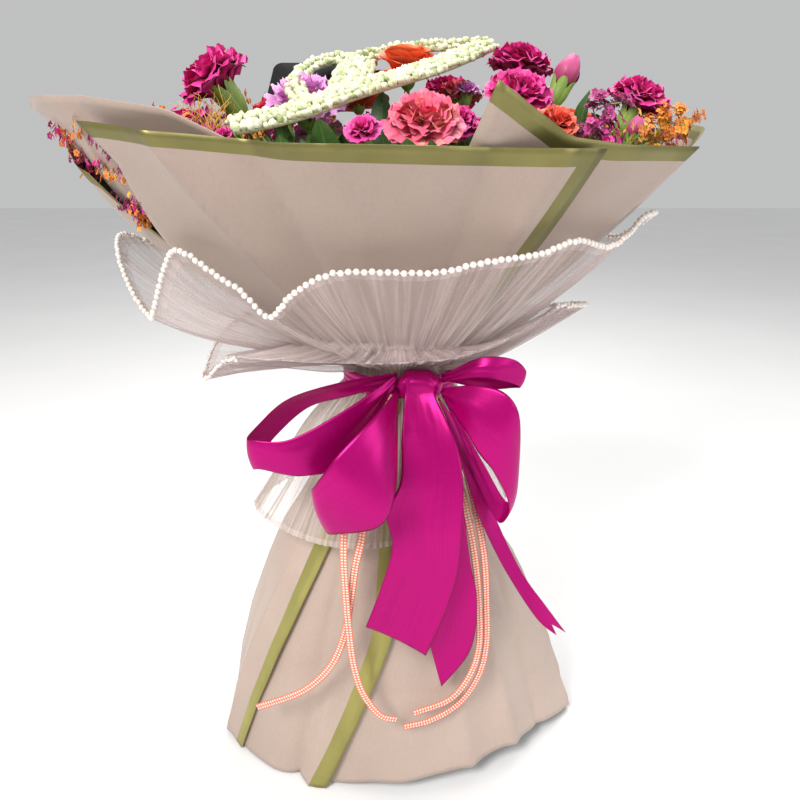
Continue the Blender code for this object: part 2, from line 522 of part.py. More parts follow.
class Body:
    """Rings of points joined to one closed surface."""

    def __init__(self):
        self.verts, self.faces = [], []

    def ring(self, points):
        start = len(self.verts)
        self.verts += points
        return list(range(start, start + len(points)))

    def circle(self, centre, axis, radius, n):
        u, v, _ = frame_of(axis)
        turns = [2 * math.pi * k / n for k in range(n)]
        return self.ring([centre + radius * (math.cos(t) * u + math.sin(t) * v) for t in turns])

    def join(self, a, b, skip=()):
        n = len(a)
        for k in range(n):
            if k not in skip:
                self.faces.append((a[k], a[(k + 1) % n], b[(k + 1) % n], b[k]))

    def petal(self, roots_low, roots_high, spots):
        """A blade grown from a band of the core: spots[row][column] is (low, high)."""
        low, high = roots_low, roots_high
        count = len(low)
        for row in spots:
            new_low = self.ring([p[0] for p in row])
            new_high = self.ring([p[1] for p in row])
            for c in range(count - 1):
                self.faces.append((high[c], high[c + 1], new_high[c + 1], new_high[c]))
                self.faces.append((low[c + 1], low[c], new_low[c], new_low[c + 1]))
            self.faces.append((low[0], high[0], new_high[0], new_low[0]))
            self.faces.append((high[-1], low[-1], new_low[-1], new_high[-1]))
            low, high = new_low, new_high
        for c in range(count - 1):
            self.faces.append((high[c], high[c + 1], low[c + 1], low[c]))


# Petal rows of each kind: height on the core, count, length, rise at root and tip, width share, frill
PETALS = {
    "carnation": dict(steps=(2, 1), core=0.30,
                      rows=[(0.10, 5, 0.80, 10, 38, 0.90, 0.075), (0.34, 5, 0.74, 46, 60, 0.86, 0.085)]),
    "rose": dict(steps=(2, 1), core=0.34,
                 rows=[(0.08, 5, 0.74, 8, 62, 0.90, 0.03), (0.40, 5, 0.62, 50, 88, 0.84, 0.02)]),
    "mum": dict(steps=(2, 1), core=0.30,
                rows=[(0.08, 10, 0.80, 5, 30, 0.66, 0.0), (0.36, 10, 0.70, 36, 56, 0.66, 0.0)]),
    "small_carnation": dict(steps=(1,), core=0.34, rows=[(0.12, 5, 0.78, 12, 45, 0.88, 0.08)]),
}
CORE_SIDES = 10


def bloom(name, kind, colour, centre, radius, lean, rng):
    """A small core with rows of petals, each row grown from a thin band of the core."""
    plan = PETALS[kind]
    n, core_r = CORE_SIDES, plan["core"] * radius
    u, v, axis = frame_of(lean)
    base = centre - axis * 0.34 * radius
    body = Body()
    thick = max(0.0007, 0.030 * radius)

    def at(turn, r, z):
        return base + r * (math.cos(turn) * u + math.sin(turn) * v) + z * axis

    def core_ring(r, z):
        return body.ring([at(2 * math.pi * k / n, r, z) for k in range(n)])

    previous = core_ring(0.6 * core_r, 0)
    body.faces.append(tuple(reversed(previous)))
    top = 0.10
    for index, (height, count, length, rise0, rise1, share, frill) in enumerate(plan["rows"]):
        low = core_ring(core_r, height * radius)
        body.join(previous, low)
        high = core_ring(core_r, height * radius + thick)
        cells = n // count
        shift = index % 2 if cells > 1 else 0
        offset = 0.5 * cells
        for k in range(count):
            first = k * cells + shift
            columns = [(first + c) % n for c in range(cells + 1)]
            middle = 2 * math.pi * (first + offset) / n
            half = share * math.tan(math.pi / count)
            spots = petal_spots(at, middle, cells + 1, core_r, height * radius, length * radius, rise0, rise1,
                                half, frill * radius, thick, plan["steps"][index], rng)
            body.petal([low[c] for c in columns], [high[c] for c in columns], spots)
        previous, top = high, height * radius + thick
    tip = core_ring(0.40 * core_r, top + 0.46 * radius)
    body.join(previous, tip)
    body.faces.append(tuple(tip))
    add(name, body.verts, body.faces, colour)
    return base, axis


def petal_spots(at, middle, columns, r0, z0, length, rise0, rise1, spread, frill, thick, steps, rng):
    """Rows of points out along a petal, as (under, over) pairs across its width."""
    r, z, rows = r0, z0, []
    for step in range(1, steps + 1):
        rise = math.radians(rise0 + (rise1 - rise0) * (step - 0.5) / steps + rng.uniform(-3, 3))
        r += length / steps * math.cos(rise)
        z += length / steps * math.sin(rise)
        half = r * spread * (1.0 if step < steps or columns > 2 else 0.5)
        row = []
        for c in range(columns):
            side = 2 * c / (columns - 1) - 1
            turn = middle + math.atan2(side * half, r)
            jag = frill * (1 if c % 2 else -0.6) * (step / steps) ** 2
            reach = math.hypot(r, side * half) if columns == 2 else r * (1 + 0.02 * (1 - abs(side)))
            lift = z + 0.6 * jag + rng.uniform(-0.3, 0.3) * frill
            under = at(turn, reach + math.sin(rise) * thick / 2, lift - math.cos(rise) * thick / 2 + thick / 2)
            over = at(turn, reach - math.sin(rise) * thick / 2, lift + math.cos(rise) * thick / 2 + thick / 2)
            row.append((under, over))
        rows.append(row)
    return rows


def bud(name, colour, centre, radius, lean):
    """A closed bud: an egg with twisted facets."""
    u, v, axis = frame_of(lean)
    base = centre - axis * 1.2 * radius
    body, previous = Body(), None
    for k, (height, wide) in enumerate(((0, 0.45), (0.5, 0.85), (1.3, 1.0), (2.1, 0.62), (2.5, 0.30))):
        turns = [0.25 * k + 2 * math.pi * q / 8 for q in range(8)]
        ring = body.ring([base + axis * height * radius + wide * radius * (1 + 0.08 * (q % 2)) *
                          (math.cos(turn) * u + math.sin(turn) * v) for q, turn in enumerate(turns)])
        if previous:
            body.join(previous, ring)
        else:
            body.faces.append(tuple(reversed(ring)))
        previous = ring
    body.faces.append(tuple(previous))
    add(name, body.verts, body.faces, colour)
    return base, axis


def spray(name, colour, foot, grow, rng):
    """A twig with short side shoots, each ending in a small floret, all one surface."""
    u, v, axis = frame_of(grow)
    body = Body()
    length, size = 0.040, 0.0030
    previous = None
    steps = 6
    for k in range(steps + 1):
        centre = foot + axis * length * k / steps
        radius = 0.0010 if k < steps else 0.0024
        ring = body.ring([centre + radius * (math.cos(t) * u + math.sin(t) * v)
                          for t in (0, math.pi / 2, math.pi, 1.5 * math.pi)])
        if previous is None:
            body.faces.append(tuple(reversed(ring)))
        else:
            open_side = (k * 3 + 1) % 4
            if k > 1:
                body.join(previous, ring, skip=(open_side,))
                root = [previous[open_side], previous[(open_side + 1) % 4], ring[(open_side + 1) % 4],
                        ring[open_side]]
                turn = math.pi / 2 * (open_side + 0.5)
                way = (math.cos(turn) * u + math.sin(turn) * v + rng.uniform(0.5, 0.9) * axis).normalized()
                shoot(body, root, way, rng.uniform(0.010, 0.015), size * rng.uniform(0.85, 1.15))
            else:
                body.join(previous, ring)
        previous = ring
    body.faces.append(tuple(previous))
    add(name, body.verts, body.faces, colour)
    return foot, axis


def shoot(body, root, way, length, size):
    """Grows four-sided rings out of one open side of a twig, swelling to a floret."""
    middle = sum((body.verts[i] for i in root), Vector()) / 4
    arms = [body.verts[i] - middle for i in root]
    arms = [(a - way * a.dot(way)).normalized() for a in arms]
    previous = root
    for share, radius in ((0.62, 0.0008), (0.86, size), (1.0, size * 0.45)):
        ring = body.ring([middle + way * length * share + a * radius for a in arms])
        body.join(previous, ring)
        previous = ring
    body.faces.append(tuple(previous))


def union(name, pieces, colour):
    """Joins the pieces to one body."""
    first, rest = pieces[0], pieces[1:]
    group = bpy.data.collections.new(name + "_parts")
    for obj in rest:
        bpy.context.scene.collection.objects.unlink(obj)
        group.objects.link(obj)
    modifier = first.modifiers.new("join", "BOOLEAN")
    modifier.operation, modifier.operand_type, modifier.solver = "UNION", "COLLECTION", "EXACT"
    modifier.collection = group
    graph = bpy.context.evaluated_depsgraph_get()
    mesh = bpy.data.meshes.new_from_object(first.evaluated_get(graph))
    first.modifiers.clear()
    first.data = mesh
    first.name = name
    for obj in list(group.objects):
        bpy.data.objects.remove(obj)
    bpy.data.collections.remove(group)
    mesh.materials.clear()
    mesh.materials.append(material(colour))
    return first


def tube(name, path, radii, sides, colour):
    body, previous = Body(), None
    for k, centre in enumerate(path):
        ahead = path[min(k + 1, len(path) - 1)] - path[max(k - 1, 0)]
        if k == 0 and abs(centre.z) < 1e-9:
            ahead = Vector((0, 0, 1))
        side = Vector((0, 1, 0)).cross(ahead).normalized()
        up = ahead.normalized().cross(side)
        ring = body.ring([centre + radii[k] * (math.cos(2 * math.pi * q / sides) * side
                                               + math.sin(2 * math.pi * q / sides) * up) for q in range(sides)])
        if previous:
            body.join(previous, ring)
        else:
            body.faces.append(tuple(reversed(ring)))
        previous = ring
    body.faces.append(tuple(previous))
    return add(name, body.verts, body.faces, colour)


def stem_path(head, axis, slot, calyx):
    """From the cut end on the ground, turning through the tie, up to the flower."""
    x, y = slot
    foot = GROUND_SPREAD * Vector((x * math.cos(SPIRAL) - y * math.sin(SPIRAL),
                                   x * math.sin(SPIRAL) + y * math.cos(SPIRAL), 0))
    return [foot, Vector((x, y, WAIST_HIGH - 0.002)), head - axis * calyx, head - axis * GAP]


def stem_slots(heads):
    """Places in the tie, in the same order round and out as the flowers above."""
    slots, left = {}, list(range(len(heads)))
    for rank in range(len(heads) - 1, -1, -1):
        radius = STEM_BUNDLE_R * math.sqrt(rank / (len(heads) - 1))
        turn = rank * math.radians(137.508)
        spot = Vector((radius * math.cos(turn), radius * math.sin(turn)))
        outer = sorted(left, key=lambda i: -math.hypot(heads[i].x, heads[i].y * 1.4))[:8]
        index = max(outer, key=lambda i: Vector((heads[i].x, heads[i].y * 1.4)).normalized().dot(spot))
        slots[index] = (spot.x, spot.y)
        left.remove(index)
    return slots


def leaf(name, foot, grow, length=0.030, width=0.009):
    """A pointed blade folded along its midrib."""
    axis = Vector((grow[0], grow[1], 1)).normalized()
    side = axis.cross(Vector((grow[0], grow[1], 0.2))).normalized()
    back = axis.cross(side)
    rows = []
    for share, wide in ((0, 0.22), (0.35, 0.9), (0.7, 0.8), (1.0, 0.08)):
        centre = Vector(foot) + axis * length * share + back * 0.006 * share * share
        across, fold = side * width * wide, back * 0.0015
        rows.append([centre - across + fold, centre, centre + across + fold])
    return sheet(name, rows, 0.0008, "stem")


def stems(heads):
    """All stems, calyxes and leaves, fused where the tie presses them together."""
    slots = stem_slots([h[0] for h in heads])
    pieces = [tube("plug", [Vector((0, 0, WAIST_LOW + 0.006)), Vector((0, 0, WAIST_HIGH - 0.008))],
                   [STEM_BUNDLE_R + 0.0012] * 2, 12, "stem")]
    for index, (head, axis, calyx, mouth) in enumerate(heads):
        path = stem_path(head, axis, slots[index], calyx)
        radii = [STEM_R] * 2 + [STEM_R * 1.1, mouth]
        pieces.append(tube("stem", path, radii, 4, "stem"))
    for x, y, z, grow_x, grow_y in LEAVES:
        foot = Vector((x, y, z))
        near = min(heads, key=lambda h: (h[0] - foot).length)
        root = near[0] - near[1] * (near[2] + 0.012)
        pieces.append(leaf_on_shoot(root, foot, (grow_x, grow_y)))
    union("stem_bundle", pieces, "stem")


def leaf_on_shoot(root, foot, grow):
    path = [root, root.lerp(foot, 0.5), foot + Vector((0, 0, 0.002))]
    shoot_piece = tube("shoot", path, [0.0012] * 3, 4, "stem")
    blade = leaf("leaf", foot, grow)
    return union("leafy", [shoot_piece, blade], "stem")


def binding_tape():
    columns, rows = 12, [[], []]
    for j in range(columns):
        t = 2 * math.pi * j / columns
        for k, z in enumerate((WAIST_LOW + 0.006, WAIST_HIGH - 0.008)):
            rows[k].append(Vector((0.0238 * math.cos(t), 0.0238 * math.sin(t), z)))
    sheet("binding_tape", rows, 0.0010, "tape", ring=True)


def on_garland(x, y, lift):
    a, b, c = GARLAND_PLANE
    return Vector((x, y, a * x + b * y + c + lift))


def garland(rng):
    """A flat openwork band with a bumpy row of florets standing on it."""
    pieces = []
    for index, arm in enumerate(GARLAND_ARMS):
        line = spline([(x, y, 0) for x, y in arm], 2)
        flat, body, previous = [], Body(), None
        for i, p in enumerate(line):
            ahead = (line[min(i + 1, len(line) - 1)] - line[max(i - 1, 0)]).normalized()
            across = Vector((-ahead.y, ahead.x, 0)) * GARLAND_W[index] / 2
            flat.append([on_garland(p.x + side * across.x, p.y + side * across.y, 0) for side in (-1, 1)])
            if i in (0, len(line) - 1):
                continue
            across *= 0.62 + 0.26 * (i % 2)
            high = 0.0032 + 0.0022 * (i % 2) + rng.uniform(0, 0.0008)
            ring = [on_garland(p.x + across.x * q, p.y + across.y * q, 0.0002) for q in (-1, 1)]
            ring += [on_garland(p.x + across.x * q, p.y + across.y * q, high) for q in (0.6, -0.6)]
            ring = body.ring(ring)
            if previous:
                body.join(previous, ring)
            else:
                body.faces.append(tuple(reversed(ring)))
            previous = ring
        body.faces.append(tuple(previous))
        pieces.append(sheet("band", flat, GARLAND_T - 0.0001 * index, "garland"))
        pieces.append(add("florets", body.verts, body.faces, "garland"))
    union("garland", pieces, "garland")


def message_card():
    """A blank card with rounded corners, leaning back among the flowers."""
    origin = Vector(CARD_CORNER)
    right, down = Vector((1, 0.02, 0.0)).normalized(), Vector((-0.16, -0.52, -0.80)).normalized()
    outline = []
    for cx, cy, start in ((CARD_ROUND, CARD_ROUND, 180), (CARD_W - CARD_ROUND, CARD_ROUND, 270),
                          (CARD_W - CARD_ROUND, CARD_H - CARD_ROUND, 0), (CARD_ROUND, CARD_H - CARD_ROUND, 90)):
        for k in range(4):
            turn = math.radians(start + 30 * k)
            outline.append((cx + CARD_ROUND * math.cos(turn), cy + CARD_ROUND * math.sin(turn)))
    normal = right.cross(down).normalized() * CARD_T / 2
    flat = [origin + right * x + down * y for x, y in outline]
    n = len(flat)
    faces = [tuple(range(n)), tuple(range(2 * n - 1, n - 1, -1))]
    faces += [(k, n + k, n + (k + 1) % n, (k + 1) % n) for k in range(n)]
    add("message_card", [p + normal for p in flat] + [p - normal for p in flat], faces, "card")


def flowers(rng):
    heads = []
    tally = {}
    for kind, colour, x, y, z, radius, lx, ly in BLOOMS:
        label = f"{kind}_{colour}"
        tally[label] = tally.get(label, 0) + 1
        name = f"{label}_{tally[label]:02d}"
        centre, lean = Vector((x, y, z)), Vector((lx, ly, 1))
        if kind == "bud":
            base, axis = bud(name, colour, centre, radius, lean)
        else:
            base, axis = bloom(name, kind, colour, centre, radius, lean, rng)
        heads.append((base, axis, 0.012 if radius > 0.016 else 0.007, max(0.0022, 0.17 * radius)))
    for index, (colour, x, y, z, gx, gy, gz) in enumerate(SPRAYS):
        name = f"spray_{colour}_{index + 1:02d}"
        foot, axis = spray(name, colour, Vector((x, y, z)), Vector((gx, gy, gz)), rng)
        heads.append((foot, axis, 0.010, 0.0014))
    return heads


def main():
    rng = random.Random(11)
    clear_scene()
    for name, plan in UPPER_SHEETS.items():
        upper_sheet(name, **plan)
    for name, plan in SKIRT_SHEETS.items():
        skirt_sheet(name, **plan)
    pearl_trim(*tulle_collar())
    tulle_under()
    tulle_flounce()
    waist_band()
    bow_knot()
    for name, edges in RIBBONS.items():
        wide_ribbon(name, *edges)
    for name, path in THIN_RIBBONS.items():
        thin_ribbon(name, path)
    stems(flowers(rng))
    binding_tape()
    garland(rng)
    message_card()


main()
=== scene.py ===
"""Looks of the hand-tied flower bouquet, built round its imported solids.

Metres, +Z up, front towards -Y. Angles round the bouquet are in degrees, 270 at the front.
"""

import math

import bpy
import numpy as np
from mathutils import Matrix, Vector


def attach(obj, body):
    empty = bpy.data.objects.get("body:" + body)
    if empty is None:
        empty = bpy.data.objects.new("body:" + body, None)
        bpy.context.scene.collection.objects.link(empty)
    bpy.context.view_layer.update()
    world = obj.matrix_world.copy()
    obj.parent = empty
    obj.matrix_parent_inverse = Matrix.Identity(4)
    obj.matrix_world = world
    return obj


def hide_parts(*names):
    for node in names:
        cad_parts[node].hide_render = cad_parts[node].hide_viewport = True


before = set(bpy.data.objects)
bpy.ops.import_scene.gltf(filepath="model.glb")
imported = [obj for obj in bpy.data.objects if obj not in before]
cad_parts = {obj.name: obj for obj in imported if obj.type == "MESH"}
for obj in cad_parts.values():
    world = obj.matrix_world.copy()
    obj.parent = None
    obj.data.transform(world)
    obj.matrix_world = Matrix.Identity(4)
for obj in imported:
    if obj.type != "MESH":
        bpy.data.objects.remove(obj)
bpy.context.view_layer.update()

# Shapes shared with the solids
LAYER = 0.0018
LOOSE = 1.6
DROP = 0.0006
WAIST_LOW, WAIST_HIGH = 0.360, 0.384
WRAP_RX, WRAP_RY = 0.0282, 0.0252
RIM_RX, RIM_BACK, RIM_FRONT = 0.228, 0.150, 0.160
RIM_SHIFT = -0.012
FLARE = 1.25
BELLY = [(0, 0), (140, 0.1), (170, 0.9), (216, 1.0), (240, 0.2), (255, 0), (360, 0)]
SKIRT_RX, SKIRT_RY = 0.0352, 0.0322
HEM_RX, HEM_RY = 0.162, 0.102
HEM_CLEAR = 0.001
STEM_R, STEM_BUNDLE_R = 0.0021, 0.0198
GROUND_SPREAD = 2.6
SPIRAL = math.radians(38)
COLLAR_TIE, UNDER_TIE = (0.0424, 0.0396), (0.0441, 0.0413)
FLOUNCE_TIE, BAND_TIE = (0.0457, 0.0429), (0.0473, 0.0445)
RIM_Z = [(0, 0.547), (45, 0.552), (90, 0.556), (135, 0.560), (180, 0.564), (225, 0.562),
         (257, 0.550), (296, 0.547), (360, 0.547)]

# Each upper sheet: layer, edges by angle, reach of the top edge, which edges carry the gold border, creases.
# A crease is (angle at the waist, angle at the rim, depth, width in degrees).
UPPER_SHEETS = {
    "wrap_back": dict(layer=0, left=[(0, 195)], right=[(0, -12)], gold=("top",),
                      top=[(-12, 1.0), (0, 1.07), (9, 1.08), (25, 1.02), (60, 0.99), (90, 1.01),
                           (130, 0.99), (165, 1.02), (195, 1.0)],
                      creases=[(30, 38, 0.004, 5), (72, 64, -0.003, 4), (110, 121, 0.004, 6), (150, 142, -0.003, 4)]),
    "wrap_left": dict(layer=1, left=[(0, 262)], right=[(0, 158)], gold=(),
                      top=[(158, 0.98), (185, 1.03), (205, 1.07), (229, 1.06), (241, 1.055),
                           (250, 0.99), (262, 0.93)],
                      creases=[(190, 196, 0.003, 5), (226, 220, -0.002, 3)]),
    "wrap_right": dict(layer=1, left=[(0, 418)], right=[(0, 277), (0.8, 281), (1, 284)], gold=("top",),
                       top=[(277, 1.15), (284, 1.15), (290, 1.09), (297, 1.03), (307, 1.01),
                            (345, 1.0), (390, 0.99), (418, 0.95)],
                       creases=[(318, 326, 0.003, 4), (338, 332, -0.002, 3), (372, 365, 0.003, 5)]),
    "wrap_left_outer": dict(layer=2.25, left=[(0, 242)], right=[(0, 146)], gold=("top",),
                            top=[(146, 0.96), (180, 0.98), (200, 0.96), (211, 0.92), (215, 0.80),
                                 (219, 0.69), (228, 0.60), (242, 0.5)],
                            creases=[(170, 164, 0.003, 4), (205, 209, 0.002, 4)]),
    "wrap_front": dict(layer=3, left=[(0, 302)], right=[(0, 200), (0.4, 208), (0.75, 219), (0.93, 226), (1, 223)],
                       gold=("top", "left"), top=[(200, 1.0), (302, 1.0)],
                       creases=[(246, 240, 0.0060, 4.5), (258, 252, -0.0040, 4), (270, 264, 0.0030, 3.5),
                                (280, 285, -0.0030, 4), (292, 295, 0.0026, 3)]),
}
SKIRT_SHEETS = {
    "skirt_back": dict(layer=0, left=[(0, 200)], right=[(0, -20)], gold=("hem",),
                       creases=[(20, 14, 0.004, 5), (70, 78, -0.004, 5), (110, 104, 0.004, 5), (160, 168, -0.003, 4)]),
    "skirt_right": dict(layer=1, left=[(0, 415)], right=[(0, 255), (0.58, 250), (1, 236)], gold=(),
                        creases=[(283, 292, 0.0025, 3), (300, 309, 0.0030, 3), (322, 326, -0.0025, 4), (345, 352, 0.003, 4)]),
    "skirt_front": dict(layer=2, left=[(0, 275), (0.58, 267), (1, 246)], right=[(0, 215), (0.4, 205), (1, 190)],
                        gold=("left",), creases=[(256, 241, 0.0025, 3), (246, 234, -0.0030, 3)]),
    "skirt_left": dict(layer=3, left=[(0, 238), (0.38, 232), (1, 209)], right=[(0, 148), (1, 150)], gold=("left",),
                       creases=[(222, 198, 0.0030, 3), (206, 186, -0.0015, 3), (184, 172, 0.0030, 4)]),
}
SKIRT_RIGHT = [(0, 0), (0.15, 0.05), (0.275, 0.14), (0.4, 0.36), (0.5, 0.54), (0.66, 0.71), (0.82, 0.86), (1, 1)]
SKIRT_LEFT = [(0, 0), (0.15, 0.10), (0.275, 0.27), (0.4, 0.48), (0.5, 0.60), (0.66, 0.77), (0.82, 0.90), (1, 1)]
HEM_Z = [(0, 0.004), (45, 0.0), (120, 0.003), (165, 0.0), (190, 0.004), (208, 0.001), (246, 0.0),
         (262, 0.010), (283, 0.016), (307, 0.021), (335, 0.012), (360, 0.004)]
BORDER = 0.0115  # width of the gold border
PAPER = 0.0004

# Edge of the tulle collar, right round
COLLAR_EDGE = [
    (0.203, 0.010, 0.497), (0.176, -0.042, 0.499), (0.155, -0.074, 0.490), (0.136, -0.094, 0.485),
    (0.110, -0.117, 0.492), (0.083, -0.133, 0.486), (0.048, -0.146, 0.483), (0.018, -0.151, 0.478),
    (-0.036, -0.151, 0.478), (-0.062, -0.146, 0.466), (-0.081, -0.134, 0.448), (-0.097, -0.130, 0.462),
    (-0.118, -0.122, 0.474), (-0.142, -0.110, 0.485), (-0.156, -0.099, 0.470), (-0.170, -0.088, 0.441),
    (-0.180, -0.070, 0.432), (-0.197, -0.054, 0.448), (-0.213, -0.030, 0.470), (-0.220, 0.000, 0.482),
    (-0.205, 0.040, 0.470), (-0.185, 0.075, 0.485), (-0.150, 0.095, 0.470), (-0.110, 0.120, 0.485),
    (-0.060, 0.132, 0.470), (-0.010, 0.143, 0.484), (0.040, 0.138, 0.470), (0.090, 0.130, 0.485),
    (0.130, 0.105, 0.470), (0.165, 0.080, 0.486), (0.185, 0.050, 0.474)]
UNDER_RIM = [(-42, 0.440), (-15, 0.432), (10, 0.424), (45, 0.408), (75, 0.413), (105, 0.404), (135, 0.418),
             (160, 0.396), (180, 0.370), (192, 0.368), (204, 0.378), (216, 0.396), (222, 0.400)]
FRONT_RIM = [(216, 0.398), (235, 0.402), (262, 0.4045), (285, 0.408), (300, 0.420), (322, 0.441)]
PEARL_R, PEARL_PITCH = 0.0021, 0.0047

# Ribbon edges, from the knot outwards: two rows of points
RIBBONS = {
    "bow_tail_front": (
        [(0.004, -0.054, 0.3865), (0.004, -0.0650, 0.3835), (0.004, -0.0700, 0.370), (0.001, -0.090, 0.345),
         (0.000, -0.101, 0.314), (-0.010, -0.107, 0.290), (-0.006, -0.110, 0.263), (-0.016, -0.114, 0.225),
         (-0.027, -0.118, 0.194)],
        [(0.024, -0.054, 0.3865), (0.025, -0.0650, 0.3835), (0.027, -0.0700, 0.370), (0.042, -0.090, 0.342),
         (0.047, -0.103, 0.313), (0.047, -0.108, 0.278), (0.045, -0.109, 0.239), (0.035, -0.111, 0.198),
         (0.021, -0.114, 0.162)]),
    "bow_tail_back": (
        [(0.005, -0.0610, 0.3629), (0.008, -0.079, 0.338), (0.009, -0.093, 0.294), (0.011, -0.097, 0.243),
         (0.013, -0.100, 0.206), (0.016, -0.102, 0.183), (0.025, -0.104, 0.164)],
        [(0.026, -0.0610, 0.3629), (0.043, -0.076, 0.336), (0.049, -0.088, 0.290), (0.056, -0.093, 0.239),
         (0.063, -0.095, 0.201), (0.059, -0.099, 0.154), (0.035, -0.106, 0.122)]),
    "bow_tail_side": (
        [(0.030, -0.0570, 0.3629), (0.043, -0.062, 0.332), (0.053, -0.072, 0.301), (0.064, -0.078, 0.269),
         (0.087, -0.083, 0.222), (0.115, -0.085, 0.176), (0.134, -0.084, 0.157)],
        [(0.0305, -0.0530, 0.3629), (0.053, -0.056, 0.330), (0.066, -0.064, 0.298), (0.078, -0.070, 0.265),
         (0.101, -0.076, 0.217), (0.124, -0.080, 0.184), (0.143, -0.081, 0.157)]),
    "bow_loop_left": (
        [(-0.0026, -0.0525, 0.384), (-0.048, -0.066, 0.380), (-0.083, -0.074, 0.370), (-0.106, -0.080, 0.353),
         (-0.115, -0.088, 0.345), (-0.107, -0.096, 0.346), (-0.080, -0.099, 0.348), (-0.040, -0.085, 0.366),
         (-0.0026, -0.0585, 0.384)],
        [(-0.0026, -0.0525, 0.3755), (-0.040, -0.058, 0.366), (-0.073, -0.057, 0.356), (-0.098, -0.066, 0.336),
         (-0.111, -0.084, 0.319), (-0.104, -0.097, 0.322), (-0.072, -0.100, 0.318), (-0.040, -0.087, 0.326),
         (-0.0026, -0.0585, 0.3765)]),
    "bow_loop_low": (
        [(-0.0024, -0.0590, 0.3735), (-0.018, -0.092, 0.354), (-0.040, -0.103, 0.336), (-0.058, -0.110, 0.322),
         (-0.064, -0.116, 0.316), (-0.060, -0.126, 0.324), (-0.043, -0.131, 0.350), (-0.0155, -0.111, 0.3735),
         (-0.0024, -0.0630, 0.3735)],
        [(-0.0024, -0.0590, 0.3660), (-0.008, -0.092, 0.330), (-0.018, -0.101, 0.306), (-0.042, -0.107, 0.283),
         (-0.054, -0.112, 0.279), (-0.046, -0.126, 0.284), (-0.014, -0.134, 0.296), (-0.003, -0.119, 0.322),
         (-0.0024, -0.0630, 0.3660)]),
    "bow_loop_right": (
        [(0.0326, -0.060, 0.384), (0.058, -0.076, 0.403), (0.083, -0.076, 0.402), (0.095, -0.071, 0.391),
         (0.088, -0.063, 0.386), (0.063, -0.061, 0.388), (0.0326, -0.053, 0.383)],
        [(0.0326, -0.060, 0.378), (0.058, -0.080, 0.389), (0.077, -0.080, 0.386), (0.090, -0.071, 0.379),
         (0.083, -0.062, 0.374), (0.062, -0.059, 0.373), (0.0326, -0.053, 0.378)]),
    "bow_loop_drop": (
        [(0.0326, -0.0645, 0.3755), (0.054, -0.088, 0.386), (0.073, -0.098, 0.385), (0.084, -0.102, 0.372),
         (0.0895, -0.098, 0.343), (0.090, -0.089, 0.306), (0.085, -0.077, 0.283), (0.068, -0.067, 0.310),
         (0.045, -0.062, 0.350), (0.0326, -0.056, 0.3735)],
        [(0.0326, -0.0645, 0.3675), (0.046, -0.092, 0.356), (0.058, -0.102, 0.338), (0.069, -0.106, 0.324),
         (0.080, -0.101, 0.302), (0.0840, -0.091, 0.280), (0.079, -0.079, 0.266), (0.063, -0.070, 0.294),
         (0.044, -0.066, 0.344), (0.0326, -0.056, 0.3665)]),
}
SATIN_WIDTH = 0.050
THIN_RIBBON_W = 0.006
THIN_RIBBONS = {
    "stitched_ribbon_left": [
        (-0.003, -0.116, 0.096), (-0.017, -0.117, 0.102), (-0.031, -0.115, 0.124), (-0.038, -0.112, 0.150),
        (-0.041, -0.110, 0.180), (-0.043, -0.107, 0.216), (-0.044, -0.102, 0.255), (-0.042, -0.088, 0.280),
        (-0.036, -0.066, 0.315), (-0.024, -0.050, 0.338), (-0.016, -0.0453, 0.355), (-0.010, -0.0480, 0.3625),
        (-0.004, -0.0490, 0.355), (-0.010, -0.0525, 0.338), (-0.020, -0.068, 0.315), (-0.027, -0.088, 0.283),
        (-0.030, -0.098, 0.262), (-0.035, -0.102, 0.240), (-0.040, -0.104, 0.206), (-0.047, -0.106, 0.170),
        (-0.060, -0.108, 0.142), (-0.084, -0.107, 0.117), (-0.124, -0.101, 0.094)],
    "stitched_ribbon_right": [
        (0.012, -0.112, 0.099), (0.043, -0.103, 0.105), (0.060, -0.095, 0.124), (0.067, -0.091, 0.150),
        (0.066, -0.088, 0.188), (0.062, -0.084, 0.228), (0.056, -0.078, 0.262), (0.046, -0.062, 0.300),
        (0.032, -0.0497, 0.335), (0.022, -0.0446, 0.353), (0.0255, -0.0428, 0.3605), (0.031, -0.0408, 0.353),
        (0.042, -0.0437, 0.335), (0.054, -0.0525, 0.300), (0.064, -0.073, 0.262), (0.070, -0.079, 0.228),
        (0.073, -0.081, 0.188), (0.074, -0.086, 0.148), (0.068, -0.090, 0.118), (0.052, -0.096, 0.094),
        (0.028, -0.104, 0.083), (0.003, -0.109, 0.080)],
}

# Garland: the plane it lies on, then the width and centre line of each arm as (x, y)
GARLAND_PLANE = (0.06, 0.30, 0.6045)
GARLAND_W = (0.021, 0.010, 0.012, 0.026)
GARLAND_ARMS = [
    [(-0.094, -0.137), (-0.076, -0.128), (-0.058, -0.112), (-0.035, -0.082), (-0.006, -0.053), (0.022, -0.025),
     (0.046, 0.008), (0.066, 0.040)],
    [(-0.034, 0.006), (-0.045, 0.022), (-0.056, 0.020), (-0.066, 0.006), (-0.070, -0.016), (-0.071, -0.042),
     (-0.066, -0.074), (-0.055, -0.106)],
    [(-0.038, 0.006), (-0.022, 0.030), (0.004, 0.046), (0.034, 0.048), (0.066, 0.040)],
    [(-0.033, -0.076), (-0.033, -0.050), (-0.032, -0.022), (-0.031, 0.004)],
]
CARD_CORNER, CARD_W, CARD_H, CARD_T, CARD_ROUND = (-0.097, 0.031, 0.6086), 0.058, 0.042, 0.0008, 0.006

